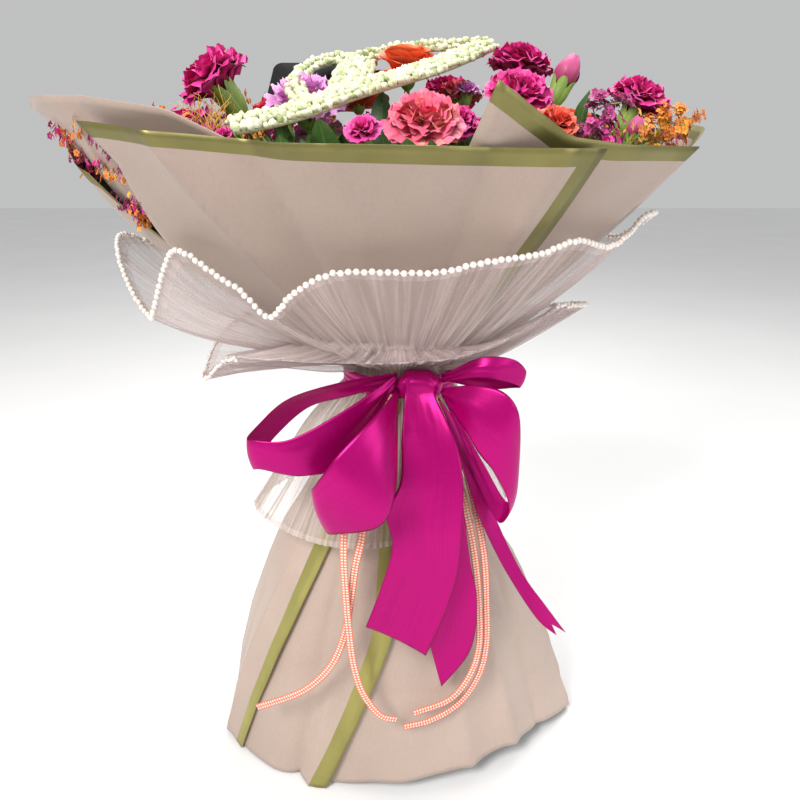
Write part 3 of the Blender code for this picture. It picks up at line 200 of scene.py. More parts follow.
# Blooms: kind, colour, centre x, y, z, radius, lean of the axis to +x and to +y
BLOOMS = [
    ("carnation", "magenta", -0.122, -0.052, 0.588, 0.0265, -0.75, -0.15),
    ("carnation", "magenta", 0.088, 0.004, 0.601, 0.0255, 0.15, 0.05),
    ("carnation", "magenta", 0.080, -0.051, 0.577, 0.0260, 0.2, -0.45),
    ("carnation", "magenta", 0.170, -0.022, 0.576, 0.0250, 0.45, -0.1),
    ("carnation", "magenta", 0.040, -0.030, 0.562, 0.0185, 0.15, -0.5),
    ("carnation", "magenta", 0.042, 0.092, 0.586, 0.0255, 0.1, 0.3),
    ("carnation", "magenta", -0.008, 0.121, 0.562, 0.0230, 0.0, 0.7),
    ("carnation", "magenta", -0.164, 0.004, 0.556, 0.0245, -0.7, 0.1),
    ("carnation", "magenta", -0.188, 0.042, 0.554, 0.0195, -0.6, 0.3),
    ("carnation", "coral", 0.015, -0.078, 0.560, 0.0275, 0.0, -0.55),
    ("carnation", "coral", -0.102, 0.062, 0.570, 0.0260, -0.4, 0.3),
    ("carnation", "coral", 0.090, 0.106, 0.562, 0.0225, 0.3, 0.6),
    ("carnation", "coral", 0.047, 0.042, 0.584, 0.0200, 0.0, 0.1),
    ("rose", "orange", 0.006, 0.005, 0.6015, 0.0260, 0.05, -0.14),
    ("rose", "orange", -0.036, 0.078, 0.586, 0.0240, -0.1, 0.25),
    ("rose", "orange", 0.152, 0.076, 0.560, 0.0235, 0.5, 0.4),
    ("rose", "orange", -0.136, 0.088, 0.556, 0.0210, -0.5, 0.5),
    ("mum", "lilac", -0.066, -0.042, 0.5735, 0.0290, -0.1, -0.30),
    ("mum", "lilac", 0.104, 0.058, 0.582, 0.0245, 0.3, 0.2),
    ("mum", "lilac", -0.074, 0.110, 0.557, 0.0240, -0.3, 0.6),
    ("small_carnation", "magenta", -0.022, -0.114, 0.556, 0.0135, -0.1, -0.6),
    ("small_carnation", "magenta", -0.108, -0.104, 0.553, 0.0090, -0.4, -0.5),
    ("small_carnation", "coral_red", 0.098, -0.092, 0.561, 0.0155, 0.3, -0.5),
    ("small_carnation", "lilac", 0.050, -0.002, 0.586, 0.0105, 0.1, -0.2),
    ("bud", "magenta", 0.119, -0.020, 0.598, 0.0090, 0.42, 0.0),
    ("bud", "magenta", 0.150, -0.086, 0.560, 0.0055, 0.2, -0.3),
]
# Filler sprays: colour, foot x, y, z, then the way they grow
SPRAYS = [
    ("plum", 0.122, -0.064, 0.540, 0.25, -0.45, 1.0),
    ("plum", -0.166, -0.050, 0.517, -0.9, -0.5, 1.0),
    ("amber", 0.155, -0.050, 0.535, 0.7, -0.45, 1.0),
    ("amber", 0.186, -0.006, 0.535, 0.7, -0.15, 1.0),
    ("amber", -0.172, -0.026, 0.520, -0.9, -0.15, 0.9),
    ("gold", -0.120, -0.080, 0.545, -0.2, -0.3, 1.0),
]
LEAVES = [(0.060, -0.096, 0.552, 0.5, -0.6), (-0.042, -0.112, 0.538, -0.2, -0.7), (-0.016, 0.040, 0.560, 0.1, 0.2),
          (0.140, 0.024, 0.560, 0.3, 0.1)]

# Camera of the photograph
CAMERA_PLACE, CAMERA_TILT, CAMERA_LENS = (0, -0.54, 0.548), 69.0, 29.7


def table(points, x):
    """Straight-line value between points of a table."""
    if x <= points[0][0]:
        return points[0][1]
    for (x0, y0), (x1, y1) in zip(points, points[1:]):
        if x <= x1:
            return y0 + (y1 - y0) * (x - x0) / (x1 - x0)
    return points[-1][1]


def spline(points, steps, closed=False):
    """Catmull-Rom curve through the points, with this many steps in each span."""
    p = np.array(points, float)
    n = len(p)
    out = []
    for i in range(n if closed else n - 1):
        near = [(i + k) % n if closed else min(max(i + k, 0), n - 1) for k in (-1, 0, 1, 2)]
        a, b, c, d = p[near]
        for t in np.arange(steps) / steps:
            out.append(0.5 * (2 * b + (c - a) * t + (2 * a - 5 * b + 4 * c - d) * t * t
                              + (3 * b - a - 3 * c + d) * t ** 3))
    if not closed:
        out.append(p[-1])
    return np.array(out)


def unit(v):
    return v / np.maximum(np.linalg.norm(v, axis=-1, keepdims=True), 1e-12)


def quads(rows, columns, ring=False):
    """Faces of a grid of points, as rows of four indices."""
    i = np.arange(rows - 1)[:, None]
    j = np.arange(columns if ring else columns - 1)[None, :]
    a, b = i * columns + j, i * columns + (j + 1) % columns
    return np.stack([a, b, b + columns, a + columns], -1).reshape(-1, 4)


def normals(grid, ring=False):
    down = np.gradient(grid, axis=0)
    if ring:
        across = np.roll(grid, -1, axis=1) - np.roll(grid, 1, axis=1)
    else:
        across = np.gradient(grid, axis=1)
    return unit(np.cross(down, across))


def joined(parts):
    """One mesh from several (points, faces, uv) parts."""
    points, faces, uvs, start = [], [], [], 0
    for p, f, uv in parts:
        points.append(p)
        faces.append(f + start)
        uvs.append(uv)
        start += len(p)
    return np.concatenate(points), np.concatenate(faces), np.concatenate(uvs)


def piece(name, part, look, stands_for=(), face_look=None, thick=0.0):
    """A new object from (points, faces, uv); look is a material or a list of them."""
    points, faces, uv = part
    mesh = bpy.data.meshes.new(name)
    mesh.vertices.add(len(points))
    mesh.vertices.foreach_set("co", points.astype(np.float32).ravel())
    mesh.loops.add(faces.size)
    mesh.loops.foreach_set("vertex_index", faces.astype(np.int32).ravel())
    mesh.polygons.add(len(faces))
    mesh.polygons.foreach_set("loop_start", np.arange(len(faces), dtype=np.int32) * 4)
    mesh.update(calc_edges=True)
    mesh.polygons.foreach_set("use_smooth", np.ones(len(faces), bool))
    layer = mesh.uv_layers.new(name="grain")
    layer.data.foreach_set("uv", uv[faces.ravel()].astype(np.float32).ravel())
    for made in look if isinstance(look, list) else [look]:
        mesh.materials.append(made)
    if face_look is not None:
        mesh.polygons.foreach_set("material_index", face_look.astype(np.int32))
    mesh.validate()
    obj = bpy.data.objects.new(name, mesh)
    bpy.context.scene.collection.objects.link(obj)
    if thick:
        modifier = obj.modifiers.new("thickness", "SOLIDIFY")
        modifier.thickness, modifier.offset = thick, 0
    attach(obj, "root")
    if stands_for:
        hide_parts(*stands_for)
    return obj


# Materials


class Look:
    """A material under construction: a Principled shader and the nodes that feed it."""

    def __init__(self, name, **values):
        self.material = bpy.data.materials.new(name)
        self.material.use_nodes = True
        self.tree = self.material.node_tree
        self.shader = self.tree.nodes["Principled BSDF"]
        for key, value in values.items():
            self.shader.inputs[key.replace("_", " ")].default_value = value

    def node(self, kind, inputs=None, **settings):
        made = self.tree.nodes.new("ShaderNode" + kind)
        for key, value in settings.items():
            setattr(made, key, value)
        for key, value in (inputs or {}).items():
            if isinstance(value, bpy.types.NodeSocket):
                self.tree.links.new(value, made.inputs[key])
            else:
                made.inputs[key].default_value = value
        return made

    def feed(self, key, socket):
        self.tree.links.new(socket, self.shader.inputs[key])

    def place(self, scale=(1, 1, 1), uv=False, turn=0.0):
        """Texture coordinates, in the object's metres or in the mesh's own grain."""
        source = self.node("TexCoord").outputs["UV" if uv else "Object"]
        return self.node("Mapping", {"Vector": source, "Scale": scale, "Rotation": (0, 0, turn)}).outputs[0]

    def noise(self, vector, scale, detail=3.0, rough=0.55):
        return self.node("TexNoise", {"Vector": vector, "Scale": scale, "Detail": detail,
                                      "Roughness": rough}).outputs["Fac"]

    def ramp(self, fac, stops):
        made = self.node("ValToRGB", {"Fac": fac})
        ends = made.color_ramp.elements
        while len(ends) < len(stops):
            ends.new(0.5)
        for end, (place, colour) in zip(ends, stops):
            end.position = place
            end.color = (*colour, 1)
        return made.outputs["Color"]

    def math(self, how, a, b=0.0):
        return self.node("Math", {0: a, 1: b}, operation=how).outputs[0]

    def mix(self, fac, a, b, how="MIX"):
        made = self.node("Mix", data_type="RGBA", blend_type=how)
        for index, value in ((0, fac), (6, a), (7, b)):
            if isinstance(value, bpy.types.NodeSocket):
                self.tree.links.new(value, made.inputs[index])
            else:
                made.inputs[index].default_value = value if index == 0 else (*value, 1)
        return made.outputs[2]

    def bump(self, height, strength, distance):
        made = self.node("Bump", {"Height": height, "Strength": strength, "Distance": distance})
        self.feed("Normal", made.outputs[0])
        return made

    def along(self, which):
        """The mesh's own grain coordinate: X runs across a piece, Y along it."""
        split = self.node("SeparateXYZ", {"Vector": self.node("TexCoord").outputs["UV"]})
        return split.outputs[which]


def shade(colour, k):
    return tuple(min(1.0, c * k) for c in colour)


def paper(name, colour, rough):
    look = Look(name, Roughness=rough, Sheen_Weight=0.12, Sheen_Roughness=0.5)
    where = look.place()
    tone = look.noise(where, 9, 4)
    fibre = look.noise(look.place((1, 1, 0.35)), 620, 3)
    base = look.ramp(tone, [(0.30, shade(colour, 0.90)), (0.70, shade(colour, 1.08))])
    speck = look.ramp(fibre, [(0.35, (0.90, 0.90, 0.90)), (0.65, (1, 1, 1))])
    look.feed("Base Color", look.mix(0.5, base, speck, "MULTIPLY"))
    crumple = look.node("TexVoronoi", {"Vector": look.place((1, 1, 0.55)), "Scale": 17.0, "Detail": 1.0,
                                       "Roughness": 0.5}, feature="SMOOTH_F1").outputs["Distance"]
    look.bump(look.math("ADD", crumple, look.math("MULTIPLY", fibre, 0.03)), 0.22, 0.0040)
    return look.material


def gold_foil(name, colour, rough):
    look = Look(name, Roughness=rough, Metallic=0.65)
    tone = look.noise(look.place((1, 1, 0.4)), 26, 3)
    look.feed("Base Color", look.ramp(tone, [(0.25, shade(colour, 0.80)), (0.55, colour), (0.80, shade(colour, 1.25))]))
    look.bump(look.noise(look.place(), 90, 4), 0.10, 0.0010)
    return look.material


def net(name, colour, clear, dense):
    """Fine gathered net: more see-through towards its edge, with threads and gathers, and darker in the gather valleys
    as painted shade.
    """
    look = Look(name, Roughness=0.70, Sheen_Weight=0.15)
    along = look.along("Y")

    def streak(across, down, reach, detail=2.0):
        value = look.node("TexNoise", {"Vector": look.place((across, down, 1), uv=True), "Scale": 1.0,
                                       "Detail": detail}).outputs["Fac"]
        return value, look.node("MapRange", {"Value": value, "From Min": 0.32, "From Max": 0.68,
                                             "To Min": -reach, "To Max": reach}).outputs[0]

    gathers, fine = streak(300, 1.4, 0.12, 3.0)
    _, folds = streak(38, 1.2, 0.15)
    cover = look.node("MapRange", {"Value": along, "To Min": dense, "To Max": clear}).outputs[0]
    threads = [look.node("TexWave", {"Vector": look.place((1, 1, 1), uv=True, turn=way), "Scale": 95.0},
                         wave_profile="TRI").outputs["Fac"] for way in (0.9, -0.9)]
    mesh = look.math("MULTIPLY", look.math("MAXIMUM", *threads), 0.12)
    alpha = look.math("ADD", look.math("ADD", cover, mesh), look.math("ADD", fine, folds))
    hem = look.math("MULTIPLY", look.math("GREATER_THAN", along, 0.968), 0.22)
    look.feed("Alpha", look.node("Math", {0: alpha, 1: hem}, operation="ADD", use_clamp=True).outputs[0])
    # Base colour darkens with the same noise that bumps the gathers: painted shade in the gather valleys
    look.feed("Base Color", look.ramp(gathers, [(0.30, shade(colour, 0.82)), (0.66, shade(colour, 1.08))]))
    look.bump(gathers, 0.25, 0.0008)
    return look.material


def satin():
    look = Look("satin_ribbon", Roughness=0.30, Metallic=0.42, Anisotropic=0.50, Specular_IOR_Level=0.55)
    look.shader.inputs["Specular Tint"].default_value = (1.0, 0.35, 0.70, 1)
    weft = look.node("TexNoise", {"Vector": look.place((45, 2600, 1), uv=True), "Scale": 1.0, "Detail": 2.0}).outputs["Fac"]
    streak = look.node("TexNoise", {"Vector": look.place((900, 12, 1), uv=True), "Scale": 1.0, "Detail": 3.0}).outputs["Fac"]
    weave = look.math("ADD", look.math("MULTIPLY", weft, 0.5), look.math("MULTIPLY", streak, 0.5))
    rim = look.math("ABSOLUTE", look.math("SUBTRACT", look.along("X"), SATIN_WIDTH / 2))
    edge = look.math("GREATER_THAN", rim, SATIN_WIDTH / 2 - 0.0009)
    base = look.ramp(weave, [(0.30, (0.34, 0.0003, 0.116)), (0.50, (0.40, 0.0005, 0.140)),
                             (0.70, (0.46, 0.0010, 0.166))])
    look.feed("Base Color", look.mix(edge, base, (0.28, 0.0003, 0.090)))
    look.feed("Roughness", look.node("MapRange", {"Value": weft, "To Min": 0.25, "To Max": 0.37}).outputs[0])
    creases = look.noise(look.place((1.0, 0.55, 1), uv=True), 38, 2)
    look.bump(look.math("ADD", look.math("MULTIPLY", weft, 0.05), creases), 0.30, 0.0030)
    return look.material


def gingham():
    """Narrow woven ribbon: coral, with two rows of small white checks."""
    look = Look("checked_ribbon", Roughness=0.62, Sheen_Weight=0.1)
    offset = look.math("ABSOLUTE", look.math("SUBTRACT", look.along("X"), THIN_RIBBON_W / 2))
    row = look.math("LESS_THAN", look.math("ABSOLUTE", look.math("SUBTRACT", offset, 0.00135)), 0.00085)
    repeat = look.math("FRACT", look.math("DIVIDE", look.along("Y"), 0.0024))
    check = look.math("MULTIPLY", row, look.math("LESS_THAN", repeat, 0.52))
    threads = look.node("TexNoise", {"Vector": look.place((3600, 3600, 1), uv=True), "Scale": 1.0}).outputs["Fac"]
    coral = look.ramp(threads, [(0.35, (0.70, 0.130, 0.060)), (0.65, (0.86, 0.240, 0.130))])
    white = look.ramp(threads, [(0.35, (0.80, 0.66, 0.58)), (0.65, (0.92, 0.82, 0.76))])
    look.feed("Base Color", look.mix(check, coral, white))
    look.bump(threads, 0.3, 0.0003)
    return look.material


def petals(name, stops, vein, spread=0.10, rough=0.50, sheen=0.15):
    """Petal tissue: colour runs from claw to edge and differs a little from petal to petal, with veins."""
    look = Look(name, Roughness=rough, Sheen_Weight=sheen, Sheen_Roughness=0.4, Subsurface_Weight=0.10,
                Subsurface_Scale=0.004)
    blotch = look.noise(look.place(), 120, 3)
    shift = look.node("MapRange", {"Value": blotch, "From Min": 0.3, "From Max": 0.7, "To Min": -0.12, "To Max": 0.12})
    chance = look.node("TexWhiteNoise", {"W": look.math("FLOOR", look.along("X"))}, noise_dimensions="1D")
    own = look.node("MapRange", {"Value": chance.outputs["Value"], "To Min": -spread, "To Max": spread})
    reach = look.math("ADD", look.along("Y"), look.math("ADD", shift.outputs[0], own.outputs[0]))
    lines = look.node("TexNoise", {"Vector": look.place((30, 1.2, 1), uv=True), "Scale": 1.0, "Detail": 2.0}).outputs["Fac"]
    dark = look.ramp(lines, [(0.38, vein), (0.60, (1, 1, 1))])
    look.feed("Base Color", look.mix(0.35, look.ramp(reach, stops), dark, "MULTIPLY"))
    look.bump(lines, 0.30, 0.0005)
    return look.material


def foliage(name, dark, light, rough=0.45):
    look = Look(name, Roughness=rough, Coat_Weight=0.08, Coat_Roughness=0.4)
    tone = look.noise(look.place((1, 1, 0.3)), 70, 4)
    side = look.math("ABSOLUTE", look.math("SUBTRACT", look.along("X"), 0.5))
    rib = look.math("LESS_THAN", side, 0.035)
    veins = look.node("TexNoise", {"Vector": look.place((14, 30, 1), uv=True, turn=0.5), "Scale": 1.0}).outputs["Fac"]
    body = look.ramp(look.math("ADD", look.math("MULTIPLY", tone, 0.6), look.math("MULTIPLY", veins, 0.4)),
                     [(0.35, dark), (0.65, light)])
    look.feed("Base Color", look.mix(look.math("MULTIPLY", rib, 0.5), body, shade(light, 1.6)))
    look.bump(veins, 0.35, 0.0008)
    return look.material


def speckled(name, stops, rough=0.6, bump=0.5, size=0.0006, sheen=0.2):
    """Florets and bumps: each takes its own tone from the X grain, and a little shading from noise."""
    look = Look(name, Roughness=rough, Sheen_Weight=sheen)
    grain = look.noise(look.place(), 900, 3)
    shift = look.node("MapRange", {"Value": grain, "From Min": 0.3, "From Max": 0.7, "To Min": -0.2, "To Max": 0.2})
    look.feed("Base Color", look.ramp(look.math("ADD", look.along("X"), shift.outputs[0]), stops))
    look.bump(grain, bump, size)
    return look.material


def pearly():
    look = Look("pearl", Roughness=0.22, Coat_Weight=0.6, Coat_Roughness=0.08, Specular_IOR_Level=0.6,
                Subsurface_Weight=0.08, Subsurface_Scale=0.002)
    cloud = look.noise(look.place(), 260, 3)
    look.feed("Base Color", look.ramp(cloud, [(0.35, (0.72, 0.66, 0.61)), (0.65, (0.84, 0.79, 0.74))]))
    look.bump(cloud, 0.08, 0.0003)
    return look.material


def black_card():
    look = Look("black_card", Roughness=0.60, Specular_IOR_Level=0.18)
    fibre = look.noise(look.place(), 1500, 3)
    look.feed("Base Color", look.ramp(fibre, [(0.3, (0.002, 0.002, 0.003)), (0.7, (0.006, 0.006, 0.008))]))
    look.bump(fibre, 0.12, 0.0002)
    return look.material


def crepe():
    look = Look("crepe_tape", Roughness=0.6)
    lines = look.node("TexNoise", {"Vector": look.place((40, 40, 900)), "Scale": 1.0}).outputs["Fac"]
    look.feed("Base Color", look.ramp(lines, [(0.35, (0.06, 0.13, 0.04)), (0.65, (0.13, 0.25, 0.09))]))
    look.bump(lines, 0.5, 0.0004)
    return look.material


def studio_floor():
    look = Look("floor", Roughness=0.8)
    tone = look.noise(look.place(), 3, 2)
    look.feed("Base Color", look.ramp(tone, [(0.3, (0.86, 0.86, 0.86)), (0.7, (0.89, 0.89, 0.89))]))
    return look.material


# The upper sheets and the skirt are one paper: the upper copy is darker as painted shade, the skirt copy lighter as
# painted light
UPPER_SHADED_TONE, SKIRT_LIT_TONE = (0.375, 0.285, 0.236), (0.47, 0.36, 0.30)
LOOKS = {
    "wrap": paper("wrap_paper_shaded", UPPER_SHADED_TONE, 0.50),
    "skirt": paper("skirt_paper_lit", SKIRT_LIT_TONE, 0.50),
    # One gold foil on both: the upper copy is darker as painted shade, the skirt copy lighter as painted light
    "gold": gold_foil("shaded_upper_foil", (0.195, 0.175, 0.058), 0.42),
    "lit_skirt_gold": gold_foil("lit_skirt_foil", (0.36, 0.33, 0.10), 0.36),
    "collar": net("tulle_collar", (0.58, 0.475, 0.45), 0.28, 0.60),
    "under": net("tulle_under", (0.56, 0.46, 0.44), 0.30, 0.60),
    "flounce": net("tulle_flounce", (0.60, 0.51, 0.46), 0.36, 0.62),
    "pearl": pearly(),
    "satin": satin(),
    "gingham": gingham(),
    "magenta": petals("magenta_petals", [(0.0, (0.24, 0.001, 0.060)), (0.45, (0.50, 0.002, 0.150)),
                                         (0.80, (0.64, 0.006, 0.215)), (1.0, (0.76, 0.045, 0.34))], (0.70, 0.45, 0.55)),
    "hot_pink": petals("hot_pink_petals", [(0.0, (0.36, 0.002, 0.11)), (0.5, (0.66, 0.008, 0.24)),
                                           (1.0, (0.82, 0.09, 0.42))], (0.75, 0.5, 0.6)),
    "coral": petals("coral_petals", [(0.0, (0.86, 0.56, 0.38)), (0.30, (0.88, 0.50, 0.36)), (0.55, (0.86, 0.24, 0.24)),
                                     (0.80, (0.80, 0.090, 0.19)), (1.0, (0.84, 0.17, 0.30))], (0.92, 0.66, 0.66), 0.42),
    "orange": petals("orange_petals", [(0.0, (0.56, 0.025, 0.006)), (0.5, (0.80, 0.085, 0.018)),
                                       (1.0, (0.88, 0.23, 0.085))], (0.85, 0.6, 0.5), 0.16),
    "lilac": petals("lilac_petals", [(0.0, (0.46, 0.10, 0.40)), (0.45, (0.62, 0.19, 0.56)),
                                     (1.0, (0.76, 0.37, 0.70))], (0.88, 0.68, 0.86)),
    "coral_red": petals("coral_red_petals", [(0.0, (0.42, 0.008, 0.010)), (0.5, (0.76, 0.035, 0.022)),
                                             (1.0, (0.86, 0.16, 0.085))], (0.8, 0.5, 0.5), 0.16),
    "bud": petals("bud_petals", [(0.0, (0.26, 0.13, 0.12)), (0.35, (0.46, 0.05, 0.17)), (1.0, (0.62, 0.10, 0.28))],
                  (0.80, 0.62, 0.70)),
    "plum": speckled("plum_florets", [(0.0, (0.10, 0.004, 0.045)), (0.5, (0.34, 0.012, 0.14)), (1.0, (0.62, 0.05, 0.30))]),
    "amber": speckled("amber_florets", [(0.0, (0.60, 0.14, 0.006)), (0.5, (0.80, 0.27, 0.012)), (1.0, (0.86, 0.42, 0.03))]),
    "gold_fibre": speckled("gold_fibres", [(0.0, (0.55, 0.25, 0.02)), (1.0, (0.86, 0.52, 0.08))]),
    "cream": speckled("cream_florets", [(0.0, (0.34, 0.42, 0.16)), (0.22, (0.60, 0.65, 0.38)), (0.6, (0.70, 0.72, 0.49)),
                                        (1.0, (0.79, 0.78, 0.60))], 0.75, 0.7, 0.0008),
    # Darker and more olive than the florets: painted shade in the gaps between them
    "band_gap_shade": speckled("garland_band_gap_shade", [(0.0, (0.42, 0.40, 0.20)), (1.0, (0.62, 0.56, 0.34))], 0.8),
    "card": black_card(),
    "stem": foliage("green_stems", (0.055, 0.13, 0.022), (0.14, 0.27, 0.05)),
    "calyx": foliage("calyxes", (0.14, 0.26, 0.035), (0.30, 0.45, 0.09)),
    "leaf": foliage("leaves", (0.030, 0.085, 0.018), (0.085, 0.19, 0.04), 0.40),
    "tape": crepe(),
}


# Paper


def rise_share(s, angle):
    """Share of the rise reached at this share of the way out."""
    return s ** FLARE - table(BELLY, angle % 360) * max(0, s ** 3 * (1 - s))


def wrap_point(angle, s, out):
    """A point of the upper wrap: s is 0 at the waist, 1 at the rim; out is a radial offset."""
    t, drop = math.radians(angle), DROP * out / LAYER
    out *= 1 + LOOSE * min(1, 4 * s)
    depth = (RIM_BACK + RIM_FRONT) / 2 - (RIM_FRONT - RIM_BACK) / 2 * math.sin(t)
    ripple = 0.0022 * s * s * math.sin(7 * t + 0.6)
    rx = WRAP_RX + out + s * (RIM_RX - WRAP_RX) + ripple
    ry = WRAP_RY + out + s * (depth - WRAP_RY) + ripple
    z = WAIST_HIGH + (table(RIM_Z, angle % 360) - WAIST_HIGH) * rise_share(s, angle) - drop * (1 - min(s, 1))
    return (RIM_SHIFT * s + rx * math.cos(t), ry * math.sin(t), z)


def skirt_point(angle, w, out):
    """A point of the paper skirt: w is 0 at the waist and 1 at the hem."""
    t = math.radians(angle)
    out *= 1 + LOOSE * min(1, 4 * w)
    side = (1 + math.cos(t)) / 2
    f = side * table(SKIRT_RIGHT, w) + (1 - side) * table(SKIRT_LEFT, w)
    ripple = 0.003 * w * w * math.sin(5 * t + 2.0)
    rx = SKIRT_RX + out + f * (HEM_RX - SKIRT_RX) + ripple
    ry = SKIRT_RY + out + f * (HEM_RY - SKIRT_RY) + ripple
    hem = HEM_CLEAR + table(HEM_Z, angle % 360)
    if math.sin(t) < 0:
        ry *= 1 - (0.22 if math.cos(t) > 0 else 0.08) * math.cos(t) * w
    return (0.002 * w + rx * math.cos(t), ry * math.sin(t), WAIST_LOW - (WAIST_LOW - hem) * w)


def creased(angle, s, creases):
    """How far the sheet stands in or out where its creases run."""
    total = 0.0
    for at_waist, at_rim, depth, width in creases:
        gap = abs(angle - (at_waist + (at_rim - at_waist) * s)) / width
        total += depth * math.exp(-gap) * s
    return total


def paper_sheet(name, point, lead, plan, reach, slot, gold):
    """A fine grid over the sheet, with its border in rows and columns of its own."""
    left, right = plan["left"], plan["right"]
    edged, rows = plan["gold"], 30
    columns = 3 + math.ceil((left[0][1] - right[0][1]) / 1.9)
    inner = columns - 3
    grid = np.zeros((rows + 1, columns, 3))
    uv = np.zeros((rows + 1, columns, 2))

    def angle_at(j, s):
        a0, a1 = table(right, s), table(left, s)
        if "left" not in edged:
            return a0 + (a1 - a0) * j / (columns - 1)
        x, y, _ = point(a1, s, 0)
        border = math.degrees(BORDER / math.hypot(x, y))
        return a0 + (a1 - border - a0) * j / inner if j <= inner else a1 - border * (columns - 1 - j) / 2

    def share_at(angle, s):
        return s * (1 + (table(reach, angle) - 1) * s) if reach else s

    for j in range(columns):
        fine = np.linspace(0, 1, 40)
        line = np.array([point(angle_at(j, s), share_at(angle_at(j, s), s), 0) for s in fine])
        run = np.concatenate([[0], np.cumsum(np.linalg.norm(np.diff(line, axis=0), axis=1))])
        stops = np.concatenate([np.linspace(0, run[-1] - BORDER, rows - 2), [run[-1] - BORDER / 2, run[-1]]])
        shares = np.interp(stops, run, fine)
        for i, s in enumerate(shares):
            angle = angle_at(j, s)
            out = plan["layer"] * LAYER + creased(angle, s, plan["creases"])
            out += 0.0004 * s * math.sin(angle * 0.23 + 7 * s + plan["layer"] * 2) * math.cos(angle * 0.11 - 5 * s)
            grid[i + 1, j] = point(angle, share_at(angle, s), out)
            uv[i + 1, j] = (angle / 360, s)
        grid[0, j] = (*grid[1, j][:2], lead)
        uv[0, j] = (uv[1, j][0], -0.1)
    faces = quads(rows + 1, columns)
    marks = np.zeros((rows, columns - 1))
    if "top" in edged or "hem" in edged:
        marks[-2:, :] = 1
    if "left" in edged:
        marks[:, -2:] = 1
    look = [LOOKS[slot], LOOKS[gold]]
    return piece(name + "_sheet", (grid.reshape(-1, 3), faces, uv.reshape(-1, 2)), look,
                 [name], marks.ravel(), PAPER)


# Tulle


def gathered(grid, count, tie, edge, seed, ring):
    """Pushes a net surface out in fine gathers: tie and edge are their depth at its two ends."""
    rng = np.random.default_rng(seed)
    rows, columns = grid.shape[:2]
    way = normals(grid, ring)
    centre = np.array([0, 0, 0.40])
    outward = np.sign(np.sum(way * (grid - centre), axis=-1, keepdims=True))
    turn = np.linspace(0, 2 * math.pi, columns, endpoint=not ring)[None, :]
    v = np.linspace(0, 1, rows)[:, None]
    wave = np.zeros((rows, columns))
    for k in range(5):
        pitch = round(count * rng.uniform(0.55, 1.25))
        wave += rng.uniform(0.5, 1) * np.sin(pitch * turn + rng.uniform(0, 6.28) + rng.uniform(-2, 2) * v)
    wave = 0.5 + wave / 5
    depth = tie + (edge - tie) * v ** 0.8
    broad = sum(np.sin(k * turn + rng.uniform(0, 6.28) + rng.uniform(-1.5, 1.5) * v) for k in (17, 23, 31)) / 3
    swell = 0.0042 * np.sin(math.pi * v ** 1.2) * broad
    return grid + way * outward * (wave * depth + swell)[..., None]


def collar():
    edge = spline(COLLAR_EDGE, 40, closed=True)
    turn = np.arctan2(edge[:, 1] / 0.76, edge[:, 0])
    out = np.stack([np.cos(turn), np.sin(turn)], -1)
    rows = 24
    grid = np.zeros((rows + 3, len(edge), 3))
    for k, z in enumerate((WAIST_LOW + 0.002, WAIST_LOW + 0.012, WAIST_HIGH - 0.003)):
        grid[k] = np.stack([COLLAR_TIE[0] * out[:, 0], COLLAR_TIE[1] * out[:, 1], np.full(len(edge), z)], -1)
    start = np.stack([0.056 * out[:, 0], 0.050 * out[:, 1], np.full(len(edge), WAIST_HIGH + 0.0045)], -1)
    degrees = np.degrees(turn)
    for k in range(rows):
        share = k / (rows - 1)
        here = start + (edge - start) * share
        rise = np.array([rise_share(share, d) for d in degrees])
        here[:, 2] = start[:, 2] + (edge[:, 2] - start[:, 2]) * rise
        grid[k + 3] = here
    grid = gathered(grid, 170, 0.0013, 0.0014, 3, True)
    v = np.linspace(0, 1, rows + 3)
    uv = np.stack(np.meshgrid(np.linspace(0, 1, len(edge)), v), -1)
    part = (grid.reshape(-1, 3), quads(rows + 3, len(edge), True), uv.reshape(-1, 2))
    made = piece("tulle_collar_net", part, LOOKS["collar"], ["tulle_collar"])
    return grid


def under_tier():
    columns, rows = 700, 22
    grid = np.zeros((rows, columns, 3))
    for j in range(columns):
        t = math.radians(-42 + 264 * j / (columns - 1))
        c, s = math.cos(t), math.sin(t)
        left = (1 - c) / 2
        rim = table(UNDER_RIM, math.degrees(t))
        line = [(UNDER_TIE[0] * c, UNDER_TIE[1] * s, WAIST_LOW + 0.002),
                (UNDER_TIE[0] * c, UNDER_TIE[1] * s, WAIST_HIGH - 0.006),
                (0.080 * c, 0.060 * s, 0.3835 + 0.006 * (1 - left)),
                ((0.150 + 0.016 * left) * c, 0.095 * s, rim)]
        grid[:, j] = spline(line, 7)
    grid = gathered(grid, 150, 0.0008, 0.0030, 5, False)
    uv = np.stack(np.meshgrid(np.linspace(0, 0.75, columns), np.linspace(0, 1, rows)), -1)
    part = (grid.reshape(-1, 3), quads(rows, columns), uv.reshape(-1, 2))
    made = piece("tulle_under_net", part, LOOKS["under"], ["tulle_under"])
    return grid


